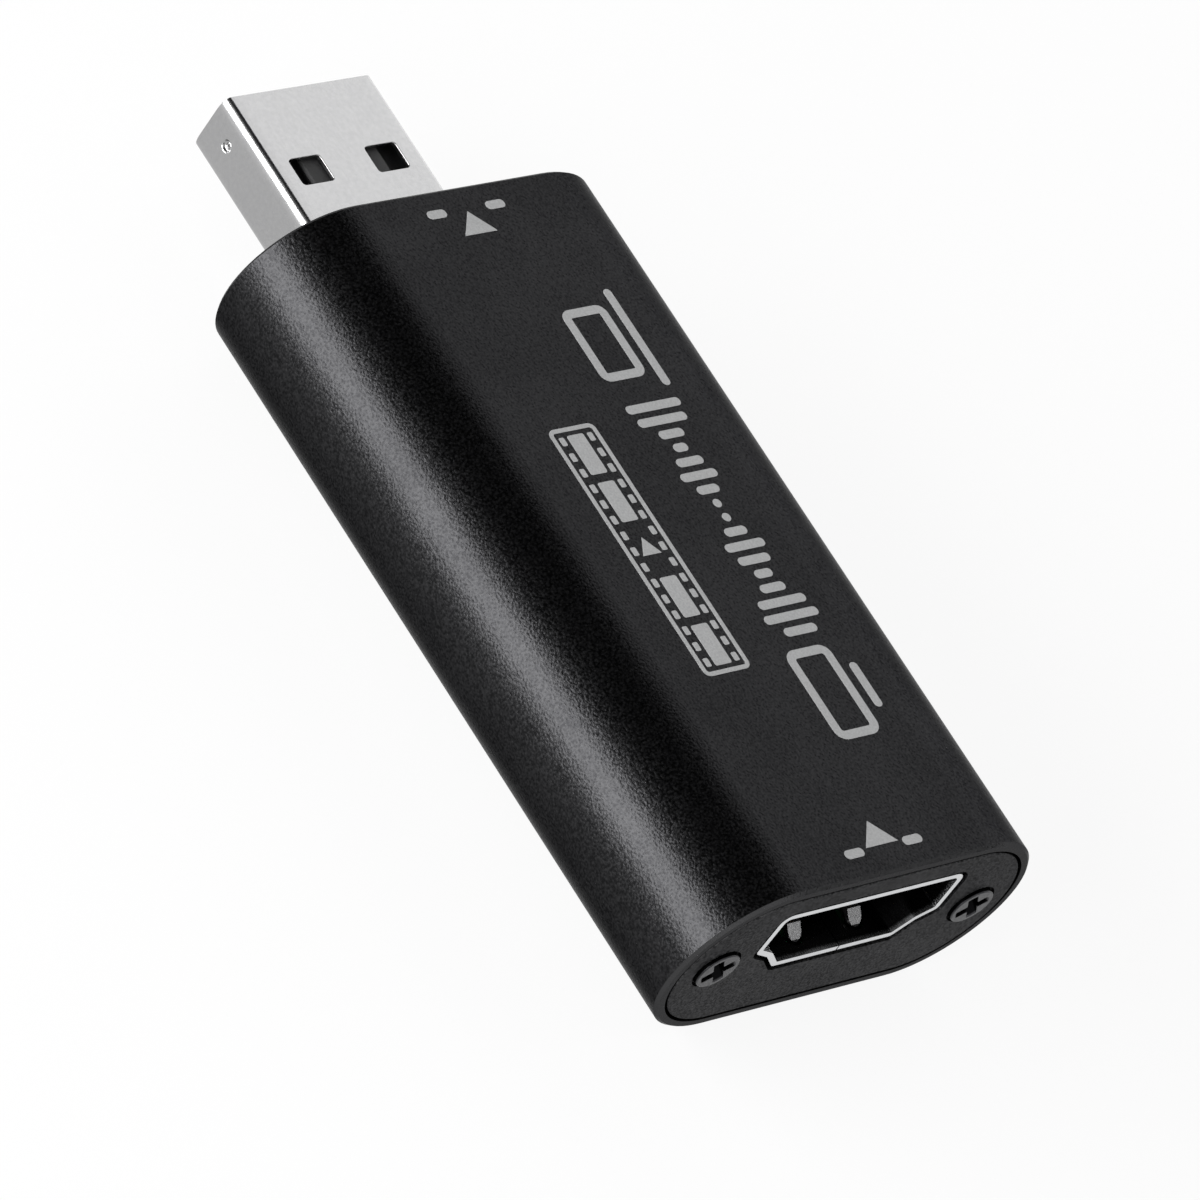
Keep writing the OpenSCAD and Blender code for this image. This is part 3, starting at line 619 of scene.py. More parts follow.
def loft(rings: np.ndarray, closed: bool = False) -> Surface:
    """Carry closed rings along a path: quads join each ring to the next, and an open path is capped.

    Args:
        rings: Points of shape (rings, points in a ring, 3).
        closed: True where the last ring joins the first.

    Returns:
        The lofted surface.
    """
    count, size = rings.shape[:2]
    faces = ring_quads(count, size, closed).tolist()
    if not closed:
        faces.append(list(range(size))[::-1])
        faces.append(list(range((count - 1) * size, count * size)))
    return Surface(rings.reshape(-1, 3), faces)


def rounded_rectangle(width: float, height: float, radius: float, steps: int = 8) -> np.ndarray:
    """Outline of a rectangle with round corners: each corner is a quarter circle about its own centre.

    Args:
        width: Size along u.
        height: Size along v.
        radius: Radius of the corners.
        steps: Segments in a corner.

    Returns:
        Points of shape (n, 2), anticlockwise.
    """
    turn = np.radians(np.linspace(0, 90, steps + 1)[None, :] + np.arange(0, 360, 90)[:, None])
    side = np.array([[1], [-1], [-1], [1]])
    rise = np.array([[1], [1], [-1], [-1]])
    u = side * (width / 2 - radius) + radius * np.cos(turn)
    v = rise * (height / 2 - radius) + radius * np.sin(turn)
    return np.stack([u, v], axis=-1).reshape(-1, 2)


def thickened(outer: np.ndarray, inner: np.ndarray, quads: np.ndarray) -> Surface:
    """Close a sheet: the outer face, the inner face turned round, and a strip along every open edge.

    A quad with one corner twice, as round a dimple's middle, becomes a triangle.

    Args:
        outer: Points of the outer face, of shape (n, 3).
        inner: Points of the inner face, in the same order.
        quads: Corner indices of the outer face's quads, of shape (m, 4).

    Returns:
        The closed surface.
    """
    edges = np.stack([quads, np.roll(quads, -1, axis=1)], axis=-1).reshape(-1, 2)
    edges = edges[edges[:, 0] != edges[:, 1]]
    _, first, uses = np.unique(np.sort(edges, axis=1), axis=0, return_index=True, return_counts=True)
    start, end = edges[first[uses == 1]].T
    rims = np.column_stack([end, start, start + len(outer), end + len(outer)])
    faces = np.concatenate([quads, quads[:, ::-1] + len(outer), rims])
    return Surface(np.concatenate([outer, inner]), [list(dict.fromkeys(face)) for face in faces.tolist()])


def make_piece(
    name: str, surface: Surface, finish: Finish, replaced: tuple[str, ...] = ()
) -> bpy.types.Object:
    """Make one piece of the object and let it ride on the body.

    Args:
        name: Name of the piece.
        surface: Its surface, in millimetres.
        finish: Finish that it wears.
        replaced: Nodes of the frame that the piece stands for.

    Returns:
        The new object.
    """
    mesh = bpy.data.meshes.new(name)
    mesh.from_pydata((surface.points * MM).tolist(), [], surface.faces)
    work = bmesh.new()
    work.from_mesh(mesh)
    bmesh.ops.remove_doubles(work, verts=work.verts, dist=MERGE_DISTANCE)
    bmesh.ops.recalc_face_normals(work, faces=work.faces)
    work.to_mesh(mesh)
    work.free()
    mesh.shade_smooth()
    mesh.set_sharp_from_angle(angle=SHARP_ANGLE)
    mesh.materials.append(finish.material())
    piece = put(name, mesh)
    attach(piece, BODY)
    if replaced:
        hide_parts(*replaced)
    LOG.info("%s: %d faces in %s", name, len(mesh.polygons), finish.name)
    return piece


def dress(finish: Finish, *nodes: str) -> None:
    """Give nodes of the frame a finish.

    Args:
        finish: Finish that they wear.
        nodes: Names of the nodes.
    """
    for name in nodes:
        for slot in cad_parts[name].material_slots:
            slot.material = finish.material()
        LOG.info("%s in %s", name, finish.name)


class Reading(Enum):
    """Way a printed mark reads: its right and its up on the part, as (x, y)."""

    TOWARDS_PLUG = ((-1.0, 0.0), (0.0, -1.0))
    ACROSS = ((0.0, 1.0), (-1.0, 0.0))


@dataclass(frozen=True)
class PrintedMarks:
    """Pictograms on the upper face: screen, signal and laptop, a strip of film, and an arrow at each end.

    Attributes:
        line: Width of a printed line.
        thin: Width of a thin line.
        ink: Thickness of the ink above the face.
        sunk: Depth of its underside below the face.
        bar_round: Rounding of a bar's ends, as a share of half its width.
        row_y: Middle of the main row.
        row_h: Height of the main row.
        panel_share: Height of screen and lid, as a share of the row's.
        screen_x: Middle of the screen.
        screen_w: Width of the screen.
        screen_r: Radius of the screen's corners.
        foot_share: Width of the screen's foot, as a share of the screen's.
        laptop_x: Middle of the laptop.
        laptop_w: Width of the laptop's base.
        lid_share: Width of the laptop's lid, as a share of the base's.
        lid_r: Radius of the lid's corners.
        bars: Number of bars in the signal.
        bar_pitch: Spacing of the bars.
        wave_mean: Mean height of the bars, as a share of the row's.
        waves: Height, as a share of the row's, step and start of each wave over the bars.
        film_x: Middle of the film strip along the tube.
        film_y: Middle of the film strip across the tube.
        film_l: Length of the film strip.
        film_w: Width of the film strip.
        film_r: Radius of the strip's corners.
        frames: Number of pictures in the strip.
        picture_r: Radius of a picture's corners.
        picture_clear: Distance between the rows of holes that a picture leaves free.
        play_r: Radius of the play mark.
        holes: Number of holes along each edge of the strip.
        hole_l: Length of a hole.
        hole_w: Width of a hole.
        hole_r: Radius of a hole's corners.
        hole_inset: Distance of a hole's middle from the border.
        hole_end: Distance of the last hole's middle from the end of the strip.
        end_x: Distance of each end arrow from the middle of the tube.
        arrow_w: Width of an arrow head.
        arrow_l: Length of an arrow head.
        bar_l: Length of the bar beside an arrow.
        bar_gap: Gap between an arrow head and that bar.
        bar_lift: Distance of the bar's middle beyond the end of the arrow.
    """

    line: float = 0.62
    thin: float = 0.3
    ink: float = 0.012
    sunk: float = 0.006
    bar_round: float = 0.98
    row_y: float = 4.2
    row_h: float = 4.8
    panel_share: float = 0.74
    screen_x: float = 13.4
    screen_w: float = 6.6
    screen_r: float = 0.5
    foot_share: float = 0.5
    laptop_x: float = -13.0
    laptop_w: float = 7.4
    lid_share: float = 0.74
    lid_r: float = 0.4
    bars: int = 17
    bar_pitch: float = 1.06
    wave_mean: float = 0.42
    waves: tuple[tuple[float, float, float], ...] = ((0.3, 1.3, 0.0), (0.22, 0.47, 0.6))
    film_x: float = 1.4
    film_y: float = -2.8
    film_l: float = 18.4
    film_w: float = 3.7
    film_r: float = 0.35
    frames: int = 5
    picture_r: float = 0.15
    picture_clear: float = 0.95
    play_r: float = 0.85
    holes: int = 15
    hole_l: float = 0.62
    hole_w: float = 0.4
    hole_r: float = 0.1
    hole_inset: float = 0.42
    hole_end: float = 0.95
    end_x: float = 23.0
    arrow_w: float = 2.6
    arrow_l: float = 1.7
    bar_l: float = 1.5
    bar_gap: float = 0.3
    bar_lift: float = 0.155

    def place(self, points: np.ndarray, centre: Pair, reading: Reading) -> np.ndarray:
        """Carry points (u, v) of a mark to (x, y) on the part: centre + u right + v up."""
        return np.array(centre) + points @ np.array(reading.value)

    def levels(self) -> Pair:
        """Heights of the ink's underside and of its top."""
        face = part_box("tube_body")[1].z / MM
        return face - self.sunk, face + self.ink

    def raised(self, outline: np.ndarray) -> Surface:
        """Give a convex outline the ink's thickness: two rings of the outline, lofted and capped.

        Args:
            outline: Points of shape (n, 2).

        Returns:
            The closed surface.
        """
        rings = [np.column_stack([outline, np.full(len(outline), z)]) for z in self.levels()]
        return loft(np.stack(rings))

    def band(self, path: np.ndarray, width: float) -> Surface:
        """Printed line along a closed path: its sides lie half a width from the path, along its normal.

        Args:
            path: Points of shape (n, 2), closed.
            width: Width of the line.

        Returns:
            The closed band.
        """
        low, high = self.levels()
        along = np.roll(path, -1, axis=0) - np.roll(path, 1, axis=0)
        along = along / np.linalg.norm(along, axis=1, keepdims=True)
        normal = np.column_stack([along[:, 1], -along[:, 0]])
        sides = np.array([-0.5, 0.5, 0.5, -0.5]) * width
        heights = np.array([low, low, high, high])
        flat = path[:, None, :] + sides[None, :, None] * normal[:, None, :]
        tall = np.broadcast_to(heights[None, :, None], (len(path), 4, 1))
        return loft(np.concatenate([flat, tall], axis=-1), closed=True)

    def bar(self, centre: Pair, size: Pair) -> np.ndarray:
        """Outline of a bar with round ends, about a centre."""
        return np.array(centre) + rounded_rectangle(*size, min(size) / 2 * self.bar_round)

    def main_row(self) -> list[Surface]:
        """Screen, signal and laptop. The signal's bar heights follow two sines of the bar's number.

        Returns:
            Their surfaces.
        """
        reading = Reading.TOWARDS_PLUG
        panel_h = self.row_h * self.panel_share
        lift = [0, (self.row_h - panel_h) / 2]
        below = (0, (self.line - self.row_h) / 2)
        lid_w = self.laptop_w * self.lid_share
        screen = rounded_rectangle(self.screen_w - self.line, panel_h - self.line, self.screen_r) + lift
        foot = self.bar(below, (self.screen_w * self.foot_share, self.line))
        lid = rounded_rectangle(lid_w - self.line, panel_h - self.line, self.lid_r) + lift
        base = self.bar(below, (self.laptop_w, self.line))
        source, target = (self.screen_x, self.row_y), (self.laptop_x, self.row_y)
        parts = [
            self.band(self.place(screen, source, reading), self.line),
            self.raised(self.place(foot, source, reading)),
            self.band(self.place(lid, target, reading), self.line),
            self.raised(self.place(base, target, reading)),
        ]
        middle = ((self.screen_x - self.screen_w / 2 + self.laptop_x + self.laptop_w / 2) / 2, self.row_y)
        number = np.arange(self.bars)
        swing = sum(high * np.sin(number * step + start) for high, step, start in self.waves)
        tall = np.maximum(self.row_h * (self.wave_mean + swing), self.line)
        for u, height in zip((number - (self.bars - 1) / 2) * self.bar_pitch, tall):
            parts.append(self.raised(self.place(self.bar((u, 0), (self.line, height)), middle, reading)))
        return parts

    def film_strip(self) -> list[Surface]:
        """Strip of film: a border, pictures with a play mark in their middle, and holes along both edges.

        Returns:
            Its surfaces.
        """
        reading = Reading.TOWARDS_PLUG
        centre = (self.film_x, self.film_y)
        border = rounded_rectangle(self.film_l - self.thin, self.film_w - self.thin, self.film_r)
        parts = [self.band(self.place(border, centre, reading), self.thin)]
        hole = rounded_rectangle(self.hole_l, self.hole_w, self.hole_r)
        hole_v = self.film_w / 2 - self.thin - self.hole_inset
        for u in np.linspace(-1, 1, self.holes) * (self.film_l / 2 - self.hole_end):
            for v in (-hole_v, hole_v):
                parts.append(self.raised(self.place(hole + [u, v], centre, reading)))
        picture_l = (self.film_l - 2 * self.thin) / self.frames
        picture_w = 2 * hole_v - self.picture_clear
        picture = rounded_rectangle(picture_l - 2 * self.thin, picture_w, self.picture_r)
        for u in (np.arange(self.frames) - (self.frames - 1) / 2) * picture_l:
            if abs(u) > picture_l / 2:
                parts.append(self.raised(self.place(picture + [u, 0], centre, reading)))
        angle = np.radians([0, 120, 240])
        play = np.column_stack([np.cos(angle), np.sin(angle)]) * self.play_r
        parts.append(self.raised(self.place(play, centre, reading)))
        return parts

    def end_arrow(self, x: float, bar_side: int) -> list[Surface]:
        """Arrow towards the plug between two short bars.

        Args:
            x: Place of the mark along the tube.
            bar_side: 1 for a bar ahead of the arrow, -1 for a bar behind it.

        Returns:
            Its surfaces.
        """
        reading = Reading.ACROSS
        head = np.array([[0, self.arrow_l / 2], [-self.arrow_w / 2, -self.arrow_l / 2],
                         [self.arrow_w / 2, -self.arrow_l / 2]])
        rule_v = bar_side * (self.arrow_l / 2 + self.bar_lift)
        parts = [self.raised(self.place(head, (x, 0), reading))]
        for side in (-1, 1):
            rule_u = side * (self.arrow_w / 2 + self.bar_gap + self.bar_l / 2)
            rule = self.bar((rule_u, rule_v), (self.bar_l, self.line))
            parts.append(self.raised(self.place(rule, (x, 0), reading)))
        return parts

    def build(self) -> None:
        """Make the printed pieces."""
        make_piece("print_signal_path", joined(self.main_row()), INK)
        make_piece("print_film_strip", joined(self.film_strip()), INK)
        make_piece("print_inlet_arrow", joined(self.end_arrow(self.end_x, -1)), INK)
        make_piece("print_outlet_arrow", joined(self.end_arrow(-self.end_x, 1)), INK)


@dataclass(frozen=True)
class Housing:
    """Tube, end plates and screws."""

    def build(self) -> None:
        """Dress the housing."""
        dress(ANODISED, "tube_body")
        dress(PLATE, "front_plate", "rear_plate")
        dress(SCREW_STEEL, "front_screws", "rear_screws")


@dataclass(frozen=True)
class PlugShell:
    """Shell of the data plug: a flat blank, bent round until its ends meet in a seam below.

    A point of the blank is (t, s): t from the tip along the plug, and s round it from the middle of its top.

    Attributes:
        tip_x: Place of the tip.
        mid_z: Height of the plug's middle.
        length: Length of the shell.
        width: Width of the shell.
        height: Height of the shell.
        wall: Thickness of the sheet.
        seam: Width of the seam.
        bend_angles: Slope of the sheet at each knot of a bend, in degrees: crisp, then broad, then crisp.
        bend_arcs: Length of the sheet between those knots.
        bend_steps: Rows of faces over a bend.
        bend_samples: Steps in which the slope of a bend is summed.
        half_samples: Steps in which the slope of half the sheet is summed.
        window_t: Middle of a window along the plug.
        window_y: Distance of a window's middle from the middle of the plug.
        window_l: Length of a window.
        window_w: Width of a window.
        window_r: Radius of a window's corners.
        dimple_t: Middle of a dimple along the plug.
        dimple_rise: Height of a dimple's middle above the plug's.
        dimple_r: Radius of a dimple.
        dimple_depth: Depth of a dimple's ring.
        dimple_brim: Radius of the first circle round a dimple, as a share of its own.
        margin: Width of the rings of faces round a window or dimple.
        cells: Faces along each side of such a ring.
        window_steps: Places of the rings on the way to a window.
        dimple_steps: Places of the rings on the way to a dimple.
        lip: Rounding of the sheet's cut edges.
        lip_steps: Segments of that rounding.
        ear_y: Outer end of each solder ear.
        ear_z: Underside of the ears.
        ear_l: Length of each ear along the plug.
        ear_r: Rounding of an ear's edges.
        ear_steps: Segments of that rounding.
    """

    tip_x: float = -38.75
    mid_z: float = 4.75
    length: float = 19.0
    width: float = 12.0
    height: float = 4.5
    wall: float = 0.3
    seam: float = 0.08
    bend_angles: tuple[float, ...] = (0.0, 40.0, 75.0, 90.0)
    bend_arcs: tuple[float, ...] = (0.22, 0.5, 0.6)
    bend_steps: int = 24
    bend_samples: int = 2000
    half_samples: int = 8000
    window_t: float = 6.15
    window_y: float = 3.05
    window_l: float = 2.0
    window_w: float = 2.5
    window_r: float = 0.25
    dimple_t: float = 2.1
    dimple_rise: float = 0.2
    dimple_r: float = 0.48
    dimple_depth: float = 0.2
    dimple_brim: float = 1.12
    margin: float = 0.4
    cells: int = 16
    window_steps: tuple[float, ...] = (0.0, 0.4, 0.75, 1.0)
    dimple_steps: tuple[float, ...] = (0.0, 0.5, 1.0)
    lip: float = 0.06
    lip_steps: int = 3
    ear_y: float = 7.4
    ear_z: float = 4.8
    ear_l: float = 2.0
    ear_r: float = 0.08
    ear_steps: int = 4

    def bend(self) -> tuple[np.ndarray, np.ndarray]:
        """Knots of one bend: length of sheet from its start, and slope there in radians."""
        return np.cumsum((0.0, *self.bend_arcs)), np.radians(self.bend_angles)

    def flats(self) -> tuple[float, float, float]:
        """Half the flat top, the length of a bend, and the flat side.

        Returns:
            The three lengths, such that the bent sheet has the shell's width and height.
        """
        arc, slope = self.bend()
        angle = np.interp((np.arange(self.bend_samples) + 0.5) / self.bend_samples * arc[-1], arc, slope)
        across, down = arc[-1] * np.cos(angle).mean(), arc[-1] * np.sin(angle).mean()
        return self.width / 2 - across, arc[-1], self.height - 2 * down

    def dimple_s(self) -> float:
        """Place of a dimple round the blank: the middle of the flat side, less its rise."""
        top, turn, side = self.flats()
        return top + turn + side / 2 - self.dimple_rise

    def section(self, s: np.ndarray) -> tuple[np.ndarray, np.ndarray]:
        """Bend the sheet: its slope is a chain of ramps of s, and its place the sum of its direction.

        Args:
            s: Places round the blank.

        Returns:
            Points (y, z) about the plug's middle, and outward normals (y, z).
        """
        top, turn, side = self.flats()
        arc, slope = self.bend()
        knots = np.concatenate([
            [0], top + arc, top + turn + side + turn - arc[::-1], [2 * top + 2 * turn + side]])
        slopes = np.concatenate([[0], slope, np.pi - slope[::-1], [np.pi]])
        fine = np.unique(np.concatenate([np.linspace(0, knots[-1], self.half_samples + 1), knots]))
        angle = np.interp(fine, knots, slopes)
        step = np.diff(fine)[:, None]
        way = np.column_stack([np.cos(angle), -np.sin(angle)])
        place = np.concatenate([np.zeros((1, 2)), np.cumsum(step * (way[1:] + way[:-1]) / 2, axis=0)])
        far, sign = np.abs(s), np.where(s < 0, -1.0, 1.0)
        y, z = np.interp(far, fine, place[:, 0]), np.interp(far, fine, place[:, 1])
        tilt = np.interp(far, knots, slopes)
        points = np.column_stack([sign * y, z + self.height / 2])
        return points, np.column_stack([sign * np.sin(tilt), np.cos(tilt)])

    def spread(self, middle: float, half: float) -> np.ndarray:
        """Lines over a span, closer towards its ends: middle + half sin of equal steps of a quarter turn."""
        return middle + half * np.sin(np.linspace(-np.pi / 2, np.pi / 2, self.cells + 1))

    def edge(self, half: Pair) -> np.ndarray:
        """Points round the edge of a rectangle, spaced as its grid lines.

        Args:
            half: Half its size along t and s.

        Returns:
            Points of shape (n, 2), anticlockwise from the lowest corner.
        """
        line = self.spread(0, 1)[:-1]
        low, high = np.full(self.cells, -1.0), np.full(self.cells, 1.0)
        square = np.concatenate([
            np.column_stack([line, low]), np.column_stack([high, line]),
            np.column_stack([-line, high]), np.column_stack([low, -line])])
        return square * half

    def window_rings(self) -> list[np.ndarray]:
        """Rings from a rectangle to a window, whose corners' points lie one radius from their own centre.

        Returns:
            Offsets of each ring's points from the window's middle.
        """
        half = np.array([self.window_l / 2, self.window_w / 2])
        outer, inner = self.edge(tuple(half + self.margin)), self.edge(tuple(half))
        centre = np.clip(inner, self.window_r - half, half - self.window_r)
        away = inner - centre
        hole = centre + self.window_r * away / np.linalg.norm(away, axis=1, keepdims=True)
        return [outer + share * (hole - outer) for share in self.window_steps]

    def dimple_rings(self) -> list[np.ndarray]:
        """Rings from a square to a point: a blend from square to circle, then circles inside the dimple.

        Returns:
            Offsets of each ring's points from the dimple's middle.
        """
        reach = self.dimple_r + self.margin
        square = self.edge((reach, reach))
        circle = square / np.linalg.norm(square, axis=1, keepdims=True)
        brim = circle * self.dimple_r * self.dimple_brim
        blend = [square + share * (brim - square) for share in self.dimple_steps]
        return blend + [circle * self.dimple_r * share for share in np.linspace(1, 0, self.cells + 1)]

    def blank(self) -> tuple[np.ndarray, np.ndarray]:
        """Flat blank: a grid with its rectangles at the windows and dimples swapped for rings of faces.

        Returns:
            Points (t, s) and quads.
        """
        top, turn, side = self.flats()
        half_window = (self.window_l / 2 + self.margin, self.window_w / 2 + self.margin)
        reach = self.dimple_r + self.margin
        end = 2 * top + 2 * turn + side
        window_t, dimple_t = self.spread(self.window_t, half_window[0]), self.spread(self.dimple_t, reach)
        upper = self.spread(self.window_y, half_window[1])
        lower = self.spread(end - self.window_y, half_window[1])
        dimple = self.spread(self.dimple_s(), reach)
        bends = np.linspace(0, turn, self.bend_steps + 1)
        half = np.concatenate([
            upper, top + bends, dimple, top + turn + side + bends, lower, [end - self.seam / 2]])
        along = np.concatenate([[0, 2 * self.lip], dimple_t, window_t, [self.length]])
        around = np.concatenate([-half[::-1], [0], half])
        points = np.stack(np.meshgrid(along, around, indexing="ij"), axis=-1).reshape(-1, 2)
        row, col = np.meshgrid(np.arange(len(along) - 1), np.arange(len(around) - 1), indexing="ij")
        corner = row * len(around) + col
        quads = np.stack([corner, corner + len(around), corner + len(around) + 1, corner + 1], axis=-1)
        centre_t = (along[1:] + along[:-1])[row] / 2
        centre_s = np.abs((around[1:] + around[:-1])[col] / 2)
        spans = [(window_t, upper), (window_t, lower), (dimple_t, dimple)]
        open_cells = np.any([
            (centre_t > t[0]) & (centre_t < t[-1]) & (centre_s > s[0]) & (centre_s < s[-1])
            for t, s in spans], axis=0)
        all_points, all_quads = [points], [quads[~open_cells]]
        kinds = [self.window_rings(), self.window_rings(), self.dimple_rings()]
        for (t, s), rings in zip(spans, kinds):
            for line in (s, -s[::-1]):
                middle = [(t[0] + t[-1]) / 2, (line[0] + line[-1]) / 2]
                all_quads.append(ring_quads(len(rings), len(rings[0])) + sum(map(len, all_points)))
                all_points.append(np.concatenate(rings) + middle)
        return np.concatenate(all_points), np.concatenate(all_quads)

    def dents(self, blank: np.ndarray) -> np.ndarray:
        """Depth of the dimples, rings round a small pip: depth times sin^2(pi r / R) within the radius R.

        Args:
            blank: Points (t, s).

        Returns:
            Depth at each point.
        """
        middle = np.array([self.dimple_t, self.dimple_s()])
        away = np.linalg.norm(np.column_stack([blank[:, 0], np.abs(blank[:, 1])]) - middle, axis=1)
        return self.dimple_depth * np.sin(np.pi * np.minimum(away / self.dimple_r, 1)) ** 2

    def ear(self, side: int) -> Surface:
        """Solder ear: a rounded rectangle the thickness of the sheet, carried along the plug.

        Args:
            side: 1 for the ear towards +Y, -1 for the other.

        Returns:
            The ear.
        """
        inner = self.width / 2 - self.wall / 2
        outline = rounded_rectangle(self.ear_y - inner, self.wall, self.ear_r, self.ear_steps)
        outline = outline + [side * (self.ear_y + inner) / 2, self.ear_z + self.wall / 2]
        end = self.tip_x + self.length
        ends = np.array([end - self.ear_l, end])
        return loft(np.stack([np.column_stack([np.full(len(outline), x), outline]) for x in ends]))

    def build(self) -> None:
        """Bend and thicken the blank, weld it, add the ears and round the cut edges."""
        blank, quads = self.blank()
        keys, index = np.unique(np.round(blank, WELD_DECIMALS), axis=0, return_inverse=True)
        quads = index.reshape(-1)[quads]
        points, normals = self.section(keys[:, 1])
        x = np.full((len(keys), 1), self.tip_x) + keys[:, :1]
        raised = points - normals * self.dents(keys)[:, None]
        outer = np.hstack([x, raised + [0, self.mid_z]])
        inner = np.hstack([x, points - normals * self.wall + [0, self.mid_z]])
        shell = joined([thickened(outer, inner, quads), self.ear(-1), self.ear(1)])
        piece = make_piece("plug_shell_bent", shell, PLUG_STEEL, ("plug_shell",))
        lip = piece.modifiers.new("lip", "BEVEL")
        lip.width = self.lip * MM
        lip.segments = self.lip_steps
        lip.limit_method = "ANGLE"
        lip.angle_limit = SHARP_ANGLE
        lip.harden_normals = True


@dataclass(frozen=True)
class Connectors:
    """Data plug and video socket."""

    def build(self) -> None:
        """Bend the plug's shell and dress the connectors."""
        PlugShell().build()
        dress(SOCKET_STEEL, "socket_shell")
        dress(INSULATOR, "plug_tongue", "socket_core")
        dress(GOLD, "plug_contacts", "socket_upper_contacts", "socket_lower_contacts")


@dataclass(frozen=True)
class Electronics:
    """Circuit board and the parts on it."""

    def build(self) -> None:
        """Dress the board and its parts."""
        dress(BOARD_RESIST, "circuit_board")
        dress(MOULD_COMPOUND, "capture_chip", "memory_chip", "regulators", "surge_arrays")
        dress(TIN, "capture_chip_pads", "memory_chip_leads", "regulator_leads", "crystal_lid",
              "input_fuse_ends", "bulk_capacitor_ends", "bypass_capacitor_ends", "line_resistor_ends")
        dress(TAN_CERAMIC, "bulk_capacitors", "bypass_capacitors")
        dress(BROWN_CERAMIC, "crystal_base")
        dress(FUSE_POLYMER, "input_fuse")
        dress(RESISTOR_GLAZE, "line_resistors")


@dataclass(frozen=True)
class Softbox:
    """Flat lamp that faces the object.

    Attributes:
        name: Name of the lamp.
        towards: Direction from the object to the lamp.
        distance: Distance from the object, in metres.
        width: Level side of the lamp, in metres.
        height: Other side of the lamp, in metres.
        radiance: Brightness of its face, where 1 is white.
        mirrored: False for a lamp that glossy surfaces don't show.
        lights: False for a card that only shows in glossy surfaces.
    """

    name: str
    towards: tuple[float, float, float]
    distance: float
    width: float
    height: float
    radiance: float
    mirrored: bool = True
    lights: bool = True

    def build(self) -> None:
        """Hang the lamp. Its power is pi times its area times its radiance."""
        data = bpy.data.lights.new(self.name, "AREA")
        data.shape = "RECTANGLE"
        data.size, data.size_y = self.width, self.height
        data.energy = math.pi * self.width * self.height * self.radiance
        lamp = put(self.name, data)
        towards = Vector(self.towards).normalized()
        lamp.location = towards * self.distance
        lamp.rotation_mode = "QUATERNION"
        lamp.rotation_quaternion = towards.to_track_quat("Z", "Y")
        lamp.visible_camera = False
        lamp.visible_glossy = self.mirrored
        lamp.visible_diffuse = self.lights
        LOG.info("%s hung", self.name)


